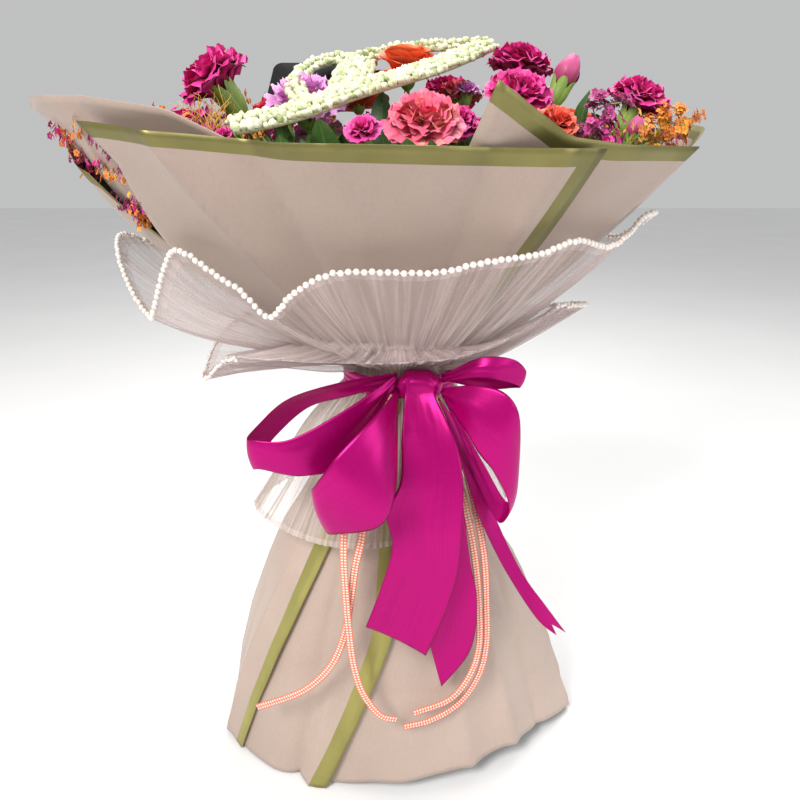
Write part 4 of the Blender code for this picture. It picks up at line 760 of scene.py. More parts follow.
def front_tier():
    """The same tier in front: it leaves the collar in soft puffs and falls over the top of the bow."""
    columns, rows = 420, 18
    grid = np.zeros((rows, columns, 3))
    for j in range(columns):
        degrees = 216 + 106 * j / (columns - 1)
        t = math.radians(degrees)
        c, s = math.cos(t), math.sin(t)
        left = (1 - c) / 2
        puff = math.exp(-((degrees - 262) / 24) ** 2) * (0.55 + 0.45 * abs(math.sin(math.radians(degrees * 11))))
        rim = table(FRONT_RIM, degrees)
        line = [(0.080 * c, 0.0745 * s, 0.4055),
                ((0.083 + 0.004 * puff) * c, (0.0765 + 0.005 * puff) * s, 0.4085 + 0.0060 * puff),
                ((0.092 + 0.006 * puff) * c, (0.0800 + 0.008 * puff) * s, 0.4080 + 0.0045 * puff),
                ((0.118 + 0.012 * left) * c, 0.0880 * s, 0.4050 + 0.45 * (rim - 0.4045)),
                ((0.150 + 0.016 * left) * c, 0.0955 * s, rim)]
        grid[:, j] = np.concatenate([spline(line, 4), [line[-1]]])[:rows]
    grid = gathered(grid, 520, 0.0008, 0.0016, 8, False)
    uv = np.stack(np.meshgrid(np.linspace(0, 0.35, columns), np.linspace(0.1, 1, rows)), -1)
    part = (grid.reshape(-1, 3), quads(rows, columns), uv.reshape(-1, 2))
    made = piece("tulle_front_net", part, LOOKS["under"])


def flounce(name, drop, inset, seed, stands_for=()):
    """The lower tulle, falling over the top of the skirt."""
    columns, rows = 760, 22
    grid = np.zeros((rows, columns, 3))
    for j in range(columns):
        t = 2 * math.pi * j / columns
        c, s = math.cos(t), math.sin(t)
        left = (1 - c) / 2
        low = 0.262 - 0.022 * left + 0.004 * math.sin(4 * t) + drop
        k = 1 - inset
        line = [(FLOUNCE_TIE[0] * c * k, FLOUNCE_TIE[1] * s * k, WAIST_HIGH - 0.008),
                (FLOUNCE_TIE[0] * c * k, FLOUNCE_TIE[1] * s * k, WAIST_LOW - 0.001),
                ((0.068 + 0.018 * left) * c * k, 0.062 * s * k, 0.312),
                ((0.096 + 0.036 * left) * c * k, 0.088 * s * k, low)]
        grid[:, j] = spline(line, 7)
    grid = gathered(grid, 130, 0.0006, 0.0034, seed, True)
    uv = np.stack(np.meshgrid(np.linspace(0, 1, columns), np.linspace(0, 1, rows)), -1)
    part = (grid.reshape(-1, 3), quads(rows, columns, True), uv.reshape(-1, 2))
    made = piece(name, part, LOOKS["flounce"], stands_for)


# Pearls


def cube_ball(n):
    """A unit ball as a cube blown up, n faces along each edge."""
    points, faces = [], []
    for axis in range(3):
        for sign in (-1, 1):
            a, b = np.meshgrid(np.linspace(-1, 1, n + 1), np.linspace(-1, 1, n + 1), indexing="ij")
            flat = np.zeros((n + 1, n + 1, 3))
            flat[..., axis] = sign
            flat[..., (axis + 1) % 3], flat[..., (axis + 2) % 3] = np.tan(a * math.pi / 4), np.tan(b * math.pi / 4)
            grid = quads(n + 1, n + 1)
            faces.append((grid if sign > 0 else grid[:, ::-1]) + len(points) * (n + 1) ** 2)
            points.append(unit(flat).reshape(-1, 3))
    p, f = np.concatenate(points), np.concatenate(faces)
    _, first, back = np.unique(np.round(p, 6), axis=0, return_index=True, return_inverse=True)
    return p[first], back.reshape(-1)[f]


BALL, SMALL_BALL = cube_ball(3), cube_ball(2)


def walk(path, pitch, closed=False):
    """Points evenly spaced along a path."""
    path = np.vstack([path, path[:1]]) if closed else path
    run = np.concatenate([[0], np.cumsum(np.linalg.norm(np.diff(path, axis=0), axis=1))])
    count = max(2, round(run[-1] / pitch))
    stops = np.linspace(0, run[-1], count, endpoint=not closed)
    return np.stack([np.interp(stops, run, path[:, k]) for k in range(3)], -1)


def pearls(name, path, closed, radius, stands_for=()):
    parts = []
    for centre in walk(path, radius / PEARL_R * PEARL_PITCH, closed):
        points = BALL[0] * radius + centre
        parts.append((points, BALL[1], np.zeros((len(points), 2))))
    cord = walk(path, 0.004, closed)
    parts.append(tube(cord, 0.0004, 4, closed))
    piece(name, joined(parts), LOOKS["pearl"], stands_for)


def tube(path, radius, sides, closed=False, end_radius=None, tone=0.5):
    """A round strand along a path, open at its ends where it isn't closed."""
    path = np.asarray(path, float)
    n = len(path)
    ahead = unit(np.roll(path, -1, 0) - np.roll(path, 1, 0)) if closed else unit(np.gradient(path, axis=0))
    side = unit(np.cross(ahead, (0.02, 0.05, 1.0)))
    up = np.cross(side, ahead)
    radii = np.linspace(radius, radius if end_radius is None else end_radius, n)[:, None, None]
    turn = np.linspace(0, 2 * math.pi, sides, endpoint=False)
    ring = np.cos(turn)[None, :, None] * side[:, None] + np.sin(turn)[None, :, None] * up[:, None]
    points = path[:, None] + ring * radii
    faces = quads(n, sides, True)
    if closed:
        last, first = (n - 1) * sides, 0
        k = np.arange(sides)
        faces = np.vstack([faces, np.stack([last + k, last + (k + 1) % sides, first + (k + 1) % sides, first + k], -1)])
    uv = np.zeros((n, sides, 2))
    uv[..., 0] = tone
    uv[..., 1] = np.linspace(0, 1, n)[:, None]
    return points.reshape(-1, 3), faces, uv.reshape(-1, 2)


# Satin and narrow ribbons


def ribbon_grid(edge_a, edge_b, columns, steps, arch, notch=0.0):
    """A strip between two edges, arched across its width; notch cuts a V into its end."""
    a, b = spline(edge_a, steps), spline(edge_b, steps)
    n = len(a)
    across = b - a
    width = np.linalg.norm(across, axis=1, keepdims=True)
    ahead = np.gradient((a + b) / 2, axis=0)
    lift = unit(np.cross(across, ahead)) * width
    u = np.linspace(0, 1, columns)
    grid = a[:, None] + across[:, None] * u[None, :, None]
    grid = grid + lift[:, None] * (arch * 4 * u * (1 - u))[None, :, None]
    if notch:
        middle = 1 - np.abs(2 * u - 1)
        run = np.arange(n)[:, None] * (1 - notch * middle[None, :])
        low = np.floor(run).astype(int).clip(0, n - 2)
        share = (run - low)[..., None]
        j = np.arange(columns)[None, :]
        grid = grid[low, j] * (1 - share) + grid[low + 1, j] * share
    return grid


def ribbon_part(grid, width):
    rows, columns = grid.shape[:2]
    run = np.concatenate([[0], np.cumsum(np.linalg.norm(np.diff(grid[:, columns // 2], axis=0), axis=1))])
    uv = np.stack(np.meshgrid(np.linspace(0, width, columns), run), -1)
    return (grid.reshape(-1, 3), quads(rows, columns), uv.reshape(-1, 2)), run[-1]


def satin_ribbon(name, edges):
    loop = "loop" in name
    grid = ribbon_grid(*edges, 21, 9, 0.05, notch=0.09 if name == "bow_tail_side" else 0)
    rows = len(grid)
    u, v = np.linspace(0, 1, 21)[None, :], np.linspace(0, 1, rows)[:, None]
    near = np.exp(-v / 0.10) + (np.exp(-(1 - v) / 0.10) if loop else 0)
    folds = 0.0016 * near * np.sin(3 * math.pi * u + 2 * v) * np.sin(math.pi * u)
    slow = 0.0010 * np.sin(5.5 * math.pi * v + 2.2 * u) * np.sin(math.pi * v)
    if name == "bow_tail_side":
        folds, slow = folds * 0.2, slow * 0.2
    grid = grid + normals(grid) * (folds + slow)[..., None]
    part, length = ribbon_part(grid, SATIN_WIDTH)
    made = piece(name + "_satin", part, LOOKS["satin"], [name], thick=0.0004)


def satin_band():
    """The band round the tie, drawn into a few folds."""
    columns, rows = 180, 15
    t = np.linspace(0, 2 * math.pi, columns, endpoint=False)[None, :]
    v = np.linspace(0, 1, rows)[:, None]
    z = 0.3600 + 0.0160 * v + 0 * t
    bulge = 0.0010 * np.abs(np.sin(3.2 * math.pi * v + 0.5 * np.sin(3 * t))) + 0.0002
    grid = np.stack([(BAND_TIE[0] + bulge) * np.cos(t), (BAND_TIE[1] + bulge) * np.sin(t), z], -1)
    uv = np.stack(np.meshgrid(np.linspace(0, 0.29, columns), np.linspace(0, SATIN_WIDTH, rows)), -1)[..., ::-1]
    part = (grid.reshape(-1, 3), quads(rows, columns, True), uv.reshape(-1, 2))
    made = piece("satin_band", part, LOOKS["satin"], ["waist_band"], thick=0.0004)


def satin_knot():
    """The knot: ribbon pinched round the tie, swelling between creases."""
    centre, half = np.array([0.015, -0.0559, 0.3745]), np.array([0.0180, 0.0122, 0.0118])
    columns, rows = 72, 24
    t = np.linspace(0, 2 * math.pi, columns, endpoint=False)[None, :]
    v = np.linspace(-1, 1, rows)[:, None]
    round_off = (1 - np.abs(v) ** 3.2 * 0.62)
    crease = 1 - 0.07 * np.abs(np.sin(2.5 * t + 1.2 * v)) * (1 - v * v * 0.4)
    power = 0.62
    x = np.sign(np.cos(t)) * np.abs(np.cos(t)) ** power
    y = np.sign(np.sin(t)) * np.abs(np.sin(t)) ** power
    grid = np.stack([half[0] * x * round_off * crease, half[1] * y * round_off * crease, half[2] * v + 0 * t], -1)
    grid = grid + centre
    caps = []
    for row, lift in ((0, -0.0006), (rows - 1, 0.0006)):
        middle = grid[row].mean(0) + (0, 0, lift)
        caps.append((row, middle))
    grid = np.concatenate([np.broadcast_to(caps[0][1], (1, columns, 3)), grid,
                           np.broadcast_to(caps[1][1], (1, columns, 3))])
    uv = np.stack(np.meshgrid(np.linspace(0, SATIN_WIDTH, columns), np.linspace(0, 0.03, rows + 2)), -1)
    piece("bow_knot_satin", (grid.reshape(-1, 3), quads(rows + 2, columns, True), uv.reshape(-1, 2)),
          LOOKS["satin"], ["bow_knot"])


def checked_ribbon(name, path):
    line = spline(path, 8)
    ahead = unit(np.gradient(line, axis=0))
    away = unit(np.stack([line[:, 0] * 0.35, line[:, 1], 0.06 * np.abs(line[:, 1])], -1))
    across = unit(np.cross(ahead, away)) * THIN_RIBBON_W / 2
    u = np.linspace(-1, 1, 7)
    grid = line[:, None] + across[:, None] * u[None, :, None]
    lift = unit(np.cross(across, ahead))
    grid = grid + lift[:, None] * (0.0004 * (1 - u * u))[None, :, None]
    part, length = ribbon_part(grid, THIN_RIBBON_W)
    made = piece(name + "_check", part, LOOKS["gingham"], [name], thick=0.0004)


# Flowers


def frame_of(axis):
    axis = Vector(axis).normalized()
    side = axis.orthogonal().normalized()
    return np.array([side, axis.cross(side), axis])


def petal(rng, azimuth, length, half, rise0, rise1, low, cup, ruffle, waves, fringe, nu, nv):
    """One petal in the bloom's own frame: it leaves the axis at height low and bends from rise0 to rise1."""
    u, v = np.linspace(-1, 1, nu)[None, :], np.linspace(0, 1, nv)[:, None]
    rise = np.radians(rise0 + (rise1 - rise0) * v ** 1.1)
    step = length / (nv - 1)
    r = np.concatenate([[[0]], np.cumsum((np.cos(rise[1:]) + np.cos(rise[:-1])) / 2 * step, axis=0)])
    z = np.concatenate([[[0]], np.cumsum((np.sin(rise[1:]) + np.sin(rise[:-1])) / 2 * step, axis=0)])
    shrink = 1 - 0.30 * np.abs(u) ** 3 * v
    width = half * (0.30 + 0.70 * np.sin(math.pi / 2 * np.minimum(1, 1.15 * v)) ** 0.8)
    lift = cup * width * u * u
    phase = rng.uniform(0, 6.28)
    lift = lift + ruffle * v ** 1.6 * np.sin(waves * u * math.pi + phase) * (0.4 + 0.6 * np.abs(u))
    lift = lift + 0.35 * ruffle * v ** 2 * np.sin(2.3 * waves * u * math.pi + 2 * phase)
    teeth = np.where(np.arange(nu) % 2 == 0, 1.0, -1.0)[None, :] * rng.uniform(0.3, 1, (1, nu))
    reach = r * shrink + fringe * teeth * v ** 7 * np.cos(rise)
    height = low + z * shrink + fringe * teeth * v ** 7 * np.sin(rise)
    reach = reach - lift * np.sin(rise)
    height = height + lift * np.cos(rise)
    side = width * u
    c, s = math.cos(azimuth), math.sin(azimuth)
    points = np.stack([reach * c - side * s, reach * s + side * c, height + 0 * side], -1)
    uv = np.stack([int(rng.integers(0, 400)) + 0.02 + (u + 1) * 0.48 + 0 * v, v + 0 * u], -1)
    return points.reshape(-1, 3), quads(nv, nu), uv.reshape(-1, 2)


# Rings of petals: count, length, half width, rise at root and tip, height of the root, cup, ruffle
CARNATION = [(7, 1.00, 0.56, 58, -20, 0.06, 0.06, 0.075), (7, 0.97, 0.54, 66, -2, 0.10, 0.08, 0.095),
             (7, 0.90, 0.50, 72, 16, 0.14, 0.10, 0.11), (6, 0.84, 0.46, 77, 34, 0.18, 0.12, 0.11),
             (6, 0.76, 0.40, 82, 52, 0.20, 0.14, 0.10), (5, 0.68, 0.32, 86, 68, 0.22, 0.16, 0.09)]
SMALL_CARNATION = [(7, 0.98, 0.48, 60, -6, 0.06, 0.05, 0.09), (7, 0.90, 0.42, 70, 20, 0.12, 0.08, 0.10),
                   (6, 0.80, 0.36, 78, 44, 0.16, 0.10, 0.10), (4, 0.70, 0.28, 85, 66, 0.20, 0.15, 0.09)]
ROSE = [(5, 1.02, 0.62, 40, -12, 0.02, 0.16, 0.05), (5, 0.98, 0.60, 56, 14, 0.06, 0.22, 0.05),
        (6, 0.90, 0.54, 68, 36, 0.10, 0.30, 0.05), (5, 0.80, 0.46, 78, 56, 0.14, 0.42, 0.04),
        (5, 0.70, 0.38, 86, 74, 0.18, 0.60, 0.03), (4, 0.60, 0.28, 90, 88, 0.20, 0.8, 0.02),
        (3, 0.52, 0.18, 94, 98, 0.22, 1.0, 0.01)]
MUM = [(11, 1.00, 0.34, 40, -10, 0.06, 0.08, 0.055), (11, 0.96, 0.32, 52, 10, 0.10, 0.10, 0.065),
       (10, 0.90, 0.30, 64, 28, 0.14, 0.12, 0.07), (9, 0.82, 0.28, 74, 46, 0.18, 0.14, 0.07),
       (8, 0.74, 0.25, 82, 64, 0.22, 0.16, 0.06), (6, 0.64, 0.20, 88, 80, 0.24, 0.18, 0.05)]
FULLNESS = {"carnation": 1.14, "small_carnation": 1.15, "rose": 1.12, "mum": 1.15}
PLANS = {"carnation": (CARNATION, 19, 10, 1.9, 0.012), "small_carnation": (SMALL_CARNATION, 13, 7, 1.7, 0.020),
         "rose": (ROSE, 11, 9, 0.8, 0.0), "mum": (MUM, 13, 7, 1.4, 0.030)}


def bloom(name, kind, colour, centre, radius, lean, seed):
    rings, nu, nv, waves, fringe = PLANS[kind]
    rng = np.random.default_rng(seed)
    parts = []
    for k, (count, length, half, rise0, rise1, low, cup, ruffle) in enumerate(rings):
        start = rng.uniform(0, 6.28)
        for q in range(count):
            turn = start + 2 * math.pi * (q + rng.uniform(-0.16, 0.16)) / count
            parts.append(petal(rng, turn, length * rng.uniform(0.93, 1.03), half * rng.uniform(0.9, 1.1),
                               rise0 + rng.uniform(-5, 5), rise1 + rng.uniform(-9, 9), low, cup, ruffle,
                               waves * rng.uniform(0.8, 1.2), fringe, nu, nv))
    points, faces, uv = joined(parts)
    axes = frame_of(lean)
    radius *= FULLNESS[kind]
    base = np.array(centre) - axes[2] * 0.34 * radius
    world = base + (points * radius) @ axes
    look = LOOKS["hot_pink"] if kind == "small_carnation" and colour == "magenta" else LOOKS[colour]
    piece(name + "_petals", (world, faces, uv), look, [name])
    return base, axes


def bud(name, centre, radius, lean, seed):
    """A closed bud: petals wrapped over each other round an egg."""
    rng = np.random.default_rng(seed)
    axes = frame_of(lean)
    base = np.array(centre) - axes[2] * 1.2 * radius
    parts = []
    nu, nv = 11, 12
    for k in range(7):
        u, v = np.linspace(-1, 1, nu)[None, :], np.linspace(0, 1, nv)[:, None]
        swell = np.sin(math.pi * (0.14 + 0.80 * v)) ** 0.75
        tight = 1 - 0.035 * (k % 4)
        turn = 2.4 * k + u * (1.25 - 0.45 * v) + 0.5 * v
        r = radius * 0.98 * swell * tight * (1 + 0.06 * u * (k % 2 * 2 - 1))
        z = radius * 2.5 * v * (1 - 0.07 * u * u) * rng.uniform(0.93, 1.0)
        points = np.stack([r * np.cos(turn), r * np.sin(turn), z + 0 * turn], -1)
        uv = np.stack([(u + 1) / 2 + 0 * v, v + 0 * u], -1)
        parts.append((points.reshape(-1, 3), quads(nv, nu), uv.reshape(-1, 2)))
    points, faces, uv = joined(parts)
    piece(name + "_petals", (base + points @ axes, faces, uv), LOOKS["bud"], [name])
    return base, axes


def calyx(base, axes, radius, length, lobes=5):
    """A green cup under a bloom, with pointed lobes, narrowing to the stem."""
    nu, nv = 40, 10
    t = np.linspace(0, 2 * math.pi, nu, endpoint=False)[None, :]
    v = np.linspace(0, 1, nv)[:, None]
    point = np.abs(np.cos(lobes * t / 2)) ** 0.7
    r = radius * (0.34 + 0.66 * np.sin(math.pi / 2 * np.minimum(1, v * 1.4)) ** 0.9) * (1 + 0.05 * np.cos(lobes * t))
    r = r * (1 + 0.16 * np.maximum(0, v - 0.75) * 4 * point)
    z = length * (v - 0.90) + radius * 0.9 * np.maximum(0, v - 0.7) / 0.3 * (point - 0.35)
    points = np.stack([r * np.cos(t), r * np.sin(t), z], -1).reshape(-1, 3)
    uv = np.stack([(lobes * t / (2 * math.pi)) % 1 + 0 * v, v + 0 * t], -1).reshape(-1, 2)
    return base + points @ axes, quads(nv, nu, True), uv


def floret(rng, place, way, size, petal_count=5):
    """A tiny open flower of a few pointed petals round a raised middle."""
    axes = frame_of(way + rng.normal(0, 0.35, 3))
    tone = rng.uniform(0, 1)
    parts = []
    u, v = np.linspace(-1, 1, 3)[None, :], np.linspace(0, 1, 3)[:, None]
    for k in range(petal_count):
        turn = 2 * math.pi * (k + rng.uniform(-0.1, 0.1)) / petal_count
        width = 0.42 * np.sin(math.pi * (0.15 + 0.75 * v))
        r, z = 0.15 + 0.85 * v, 0.55 * v * (1.2 - v) + 0.12 * u * u
        x = r * math.cos(turn) - width * u * math.sin(turn)
        y = r * math.sin(turn) + width * u * math.cos(turn)
        points = np.stack([x, y, z + 0 * x], -1).reshape(-1, 3) * size
        parts.append((points, quads(3, 3), np.full((9, 2), tone)))
    points, faces, uv = joined(parts)
    return place + points @ axes, faces, uv


def spray(name, colour, foot, grow, seed, length=0.040, branches=11, size=0.0030, spread=0.017, per=13):
    """A twig with side shoots crowded with florets."""
    rng = np.random.default_rng(seed)
    axes = frame_of(grow)
    bend = rng.normal(0, 0.10, 2)
    share = np.linspace(0, 1, 8)
    stem = foot + np.outer(share * length, axes[2]) + np.outer(length * share ** 2 * bend[0], axes[0]) \
        + np.outer(length * share ** 2 * bend[1], axes[1])
    twigs, blossoms = [tube(stem, 0.0009, 6, end_radius=0.0005)], []
    for k in range(branches):
        at = 0.18 + 0.80 * k / (branches - 1)
        root = np.array([np.interp(at, share, stem[:, q]) for q in range(3)])
        turn = 2.4 * k + rng.uniform(-0.4, 0.4)
        way = math.cos(turn) * axes[0] + math.sin(turn) * axes[1] + rng.uniform(0.55, 1.0) * axes[2]
        way = way / np.linalg.norm(way)
        tip = root + way * spread * rng.uniform(0.75, 1.1) * (1.15 - 0.4 * at)
        middle = (root + tip) / 2 + axes[2] * -0.0008
        twigs.append(tube(spline([root, middle, tip], 3), 0.0005, 4, end_radius=0.0003))
        for q in range(per):
            share_out = rng.uniform(0.45, 1.05)
            place = root + (tip - root) * share_out + rng.normal(0, 0.0016, 3)
            blossoms.append(floret(rng, place, way + 0.5 * axes[2], size * rng.uniform(0.8, 1.2)))
    piece(name + "_florets", joined(blossoms), LOOKS[colour], [name])
    return twigs


def filler(name, colour, spots, seed, per=16, size=0.0028, spread=0.0085):
    """Heads of filler florets round given places, and the stalks under them."""
    rng = np.random.default_rng(seed)
    parts, stalks = [], []
    for place in spots:
        place = np.array(place, float)
        foot = place + np.array([-0.2 * place[0], -0.2 * place[1], -0.035])
        stalks.append(tube(spline([foot, (foot + place) / 2 + rng.normal(0, 0.001, 3), place], 3), 0.0007, 5))
        for _ in range(per):
            offset = rng.normal(0, spread / 2, 3)
            way = unit(offset + np.array([place[0] * 0.8, place[1] * 0.8, 0.05]))
            parts.append(floret(rng, place + offset, way, size * rng.uniform(0.75, 1.2)))
    piece(name, joined(parts), LOOKS[colour])
    return stalks


def dome_spots(rng, count, near, far, low, high):
    """Places among the blooms, clear of the front: near and far are shares of the way out to the rim."""
    spots = []
    for k in range(count):
        turn = 304 + 288 * (k + 0.5 + rng.uniform(-0.35, 0.35)) / count
        share = math.sqrt(rng.uniform(near ** 2, far ** 2))
        x, y, z = wrap_point(turn, 1.0, 0)
        sunk = 0.014 if 165 < turn % 360 < 240 else 0.0
        spots.append((x * share, y * share, z + rng.uniform(low, high) + 0.022 * (1 - share) - sunk))
    return spots


def wedge_spots(rng, count):
    """Places in the notch where the front sheet and the outer left sheet part."""
    top, edge = UPPER_SHEETS["wrap_left_outer"]["top"], UPPER_SHEETS["wrap_front"]["right"]
    spots = []
    while len(spots) < count:
        angle, s = rng.uniform(196, 226), rng.uniform(0.60, 1.0)
        if s > table(top, angle) - 0.03 and angle < table(edge, s) + 2:
            spots.append(wrap_point(angle, s, 1.8 * LAYER))
    return spots


def fillers():
    """Small filler heads that close the gaps between the blooms."""
    rng = np.random.default_rng(31)
    stalks = []
    for seed, (colour, slot, outer, inner, wedge) in enumerate((
            ("plum", "plum", 24, 14, 13), ("amber", "amber", 21, 11, 15), ("hot_pink", "magenta", 19, 12, 9))):
        spots = dome_spots(rng, outer, 0.70, 0.93, -0.003, 0.009) + dome_spots(rng, inner, 0.20, 0.72, -0.004, 0.006)
        stalks += filler(colour + "_filler", colour, spots, 40 + seed)
        filler(colour + "_side_filler", colour, wedge_spots(rng, wedge), 50 + seed, 9, 0.0024, 0.0052)
    return stalks


def leaf_blade(foot, grow, length, half, seed, curl=0.25):
    """A pointed leaf, folded along its rib, arching over and waved at the edge."""
    rng = np.random.default_rng(seed)
    nu, nv = 7, 12
    u, v = np.linspace(-1, 1, nu)[None, :], np.linspace(0, 1, nv)[:, None]
    axis = unit(np.array([grow[0], grow[1], 1.0]))
    side = unit(np.cross(axis, (grow[0], grow[1], 0.2)))
    back = np.cross(axis, side)
    width = half * np.sin(math.pi * (0.06 + 0.94 * v) ** 0.85) ** 0.8 * (v < 0.999)
    width = width + 0.0002
    rise = 0.18 * np.abs(u) * width + 0.0006 * np.sin(9 * v + rng.uniform(0, 6)) * u * u
    bow = curl * length * v * v
    points = (np.array(foot) + axis * (length * v)[..., None] + side * (width * u)[..., None]
              + back * (rise + bow * 0.25 + 0 * u)[..., None])
    uv = np.stack([(u + 1) / 2 + 0 * v, v + 0 * u], -1)
    return points.reshape(-1, 3), quads(nv, nu), uv.reshape(-1, 2)


def stem_slots(heads):
    """Places in the tie, in the same order round and out as the flowers above."""
    slots, left = {}, list(range(len(heads)))
    for rank in range(len(heads) - 1, -1, -1):
        radius = STEM_BUNDLE_R * math.sqrt(rank / (len(heads) - 1))
        turn = rank * math.radians(137.508)
        spot = Vector((radius * math.cos(turn), radius * math.sin(turn)))
        outer = sorted(left, key=lambda i: -math.hypot(heads[i][0], heads[i][1] * 1.4))[:8]
        index = max(outer, key=lambda i: Vector((heads[i][0], heads[i][1] * 1.4)).normalized().dot(spot))
        slots[index] = (spot.x, spot.y)
        left.remove(index)
    return slots


def stems(heads):
    """Every stem from its cut end, turning through the tie, up to its flower."""
    slots = stem_slots([h[0] for h in heads])
    parts = []
    for index, (base, axes, neck) in enumerate(heads):
        x, y = slots[index]
        c, s = math.cos(SPIRAL), math.sin(SPIRAL)
        foot = (GROUND_SPREAD * (x * c - y * s), GROUND_SPREAD * (x * s + y * c), 0.0)
        line = [foot, (x, y, WAIST_HIGH - 0.002), tuple(base - axes[2] * neck), tuple(base)]
        path = np.concatenate([np.linspace(line[0], line[1], 9)[:-1], np.linspace(line[1], line[2], 8)[:-1],
                               np.linspace(line[2], line[3], 3)])
        points, faces, uv = tube(path, STEM_R, 8)
        uv = uv * (1, 12)
        cap = np.concatenate([np.array([[*foot[:2], 0.0]]), points[:8]])
        cap[:, 2] = 0
        points[:8, 2] = 0
        ring = np.array([[0, 1 + k, 1 + (k + 1) % 8, 1 + (k + 2) % 8] for k in range(0, 8, 2)])
        parts += [(points, faces, uv), (cap, ring, np.zeros((9, 2)))]
    return parts


def flowers():
    heads, cups, twigs, tally = [], [], [], {}
    for index, (kind, colour, x, y, z, radius, lx, ly) in enumerate(BLOOMS):
        label = f"{kind}_{colour}"
        tally[label] = tally.get(label, 0) + 1
        name = f"{label}_{tally[label]:02d}"
        if kind == "bud":
            base, axes = bud(name, (x, y, z), radius, (lx, ly, 1), 100 + index)
            cups.append(calyx(base, axes, radius * 0.80, radius * 2.0))
        else:
            base, axes = bloom(name, kind, colour, (x, y, z), radius, (lx, ly, 1), 100 + index)
            wide = {"carnation": 0.33, "small_carnation": 0.34, "rose": 0.22, "mum": 0.22}[kind]
            deep = {"carnation": 0.85, "small_carnation": 1.1, "rose": 0.30, "mum": 0.25}[kind]
            cups.append(calyx(base + axes[2] * 0.10 * radius, axes, radius * wide, radius * deep))
        heads.append((base, axes, 0.012 if radius > 0.016 else 0.007))
    for index, (colour, x, y, z, gx, gy, gz) in enumerate(SPRAYS):
        name = f"spray_{colour}_{index + 1:02d}"
        foot, grow = np.array([x, y, z]), (gx, gy, gz)
        if colour == "gold":
            fibres(name, foot, grow)
        else:
            twigs += spray(name, colour, foot, grow, 300 + index, length=0.034 if x < -0.15 else 0.040)
        heads.append((foot, frame_of(grow), 0.010))
    return heads, cups, twigs


def fibres(name, foot, grow):
    """Curly golden fibres in a loose tuft."""
    rng = np.random.default_rng(77)
    axes = frame_of(grow)
    parts = []
    for _ in range(46):
        way = unit(axes[2] + rng.normal(0, 0.55, 3))
        side = unit(np.cross(way, rng.normal(0, 1, 3)))
        up = np.cross(side, way)
        length, curl = rng.uniform(0.022, 0.040), rng.uniform(1.2, 2.8)
        t = np.linspace(0, 1, 14)[:, None]
        path = foot + way * length * t + side * 0.006 * t * np.sin(curl * 3 * t + rng.uniform(0, 6)) \
            + up * 0.006 * t * np.cos(curl * 3 * t + rng.uniform(0, 6))
        parts.append(tube(path, 0.00035, 4, end_radius=0.0002, tone=rng.uniform(0, 1)))
    piece(name + "_fibres", joined(parts), LOOKS["gold_fibre"], [name])


def greenery(heads, cups, twigs):
    parts = stems(heads)
    for index, (x, y, z, gx, gy) in enumerate(LEAVES):
        foot = np.array([x, y, z])
        near = min(heads, key=lambda h: np.linalg.norm(h[0] - foot))
        root = near[0] - near[1][2] * (near[2] + 0.012)
        parts.append(tube(spline([root, (root + foot) / 2, foot + (0, 0, 0.002)], 3), 0.0010, 6))
    piece("flower_stems", joined(parts + twigs), LOOKS["stem"], ["stem_bundle"])
    piece("calyx_cups", joined(cups), LOOKS["calyx"])
    blades = [leaf_blade((x, y, z - 0.002), (gx, gy), 0.032, 0.0095, 500 + k)
              for k, (x, y, z, gx, gy) in enumerate(LEAVES)]
    rng = np.random.default_rng(21)
    for k in range(170):
        turn, out = rng.uniform(0, 2 * math.pi), math.sqrt(rng.uniform(0.02, 1.0))
        x, y = 0.198 * out * math.cos(turn) - 0.006, 0.130 * out * math.sin(turn)
        z = 0.510 + 0.030 * (1 - out) + rng.uniform(-0.006, 0.010)
        blades.append(leaf_blade((x, y, z), (math.cos(turn) * 0.8 * out + rng.uniform(-0.4, 0.4),
                                             math.sin(turn) * 0.8 * out + rng.uniform(-0.4, 0.4)),
                                 rng.uniform(0.022, 0.034), rng.uniform(0.006, 0.010), 600 + k))
    piece("leaves", joined(blades), LOOKS["leaf"])


# Garland and card


def on_garland(x, y, lift):
    a, b, c = GARLAND_PLANE
    return np.array([x, y, a * x + b * y + c + lift])


def garland():
    """An openwork band packed with cream florets; the band shows between them in a darker olive, as painted shade in
    the gaps.
    """
    rng = np.random.default_rng(9)
    bumps, bands = [], []
    for index, arm in enumerate(GARLAND_ARMS):
        line = spline([(x, y, 0) for x, y in arm], 12)
        half = GARLAND_W[index] / 2
        ahead = unit(np.gradient(line, axis=0))
        across = np.stack([-ahead[:, 1], ahead[:, 0]], -1)
        u = np.linspace(-1, 1, 5)
        flat = np.array([[on_garland(p[0] + n[0] * half * q, p[1] + n[1] * half * q, -0.0004) for q in u]
                         for p, n in zip(line, across)])
        part, _ = ribbon_part(flat, 1.0)
        bands.append(part)
        for p in walk(line, 0.0037):
            k = int(np.argmin(np.linalg.norm(line - p, axis=1)))
            n, rows = across[k], max(3, round(2 * half / 0.0036))
            for q in np.linspace(-1, 1, rows):
                x = p[0] + n[0] * half * q * 0.92 + rng.normal(0, 0.0005)
                y = p[1] + n[1] * half * q * 0.92 + rng.normal(0, 0.0005)
                place = on_garland(x, y, 0.0014 + 0.0030 * (1 - q * q) + rng.uniform(-0.0006, 0.0012))
                bumps.append(knobble(rng, place))
    piece("garland_florets", joined(bumps), LOOKS["cream"], ["garland"])
    # The band's darker olive colour is painted shade in the gaps between the florets
    piece("garland_band", joined(bands), LOOKS["band_gap_shade"], thick=0.0018)


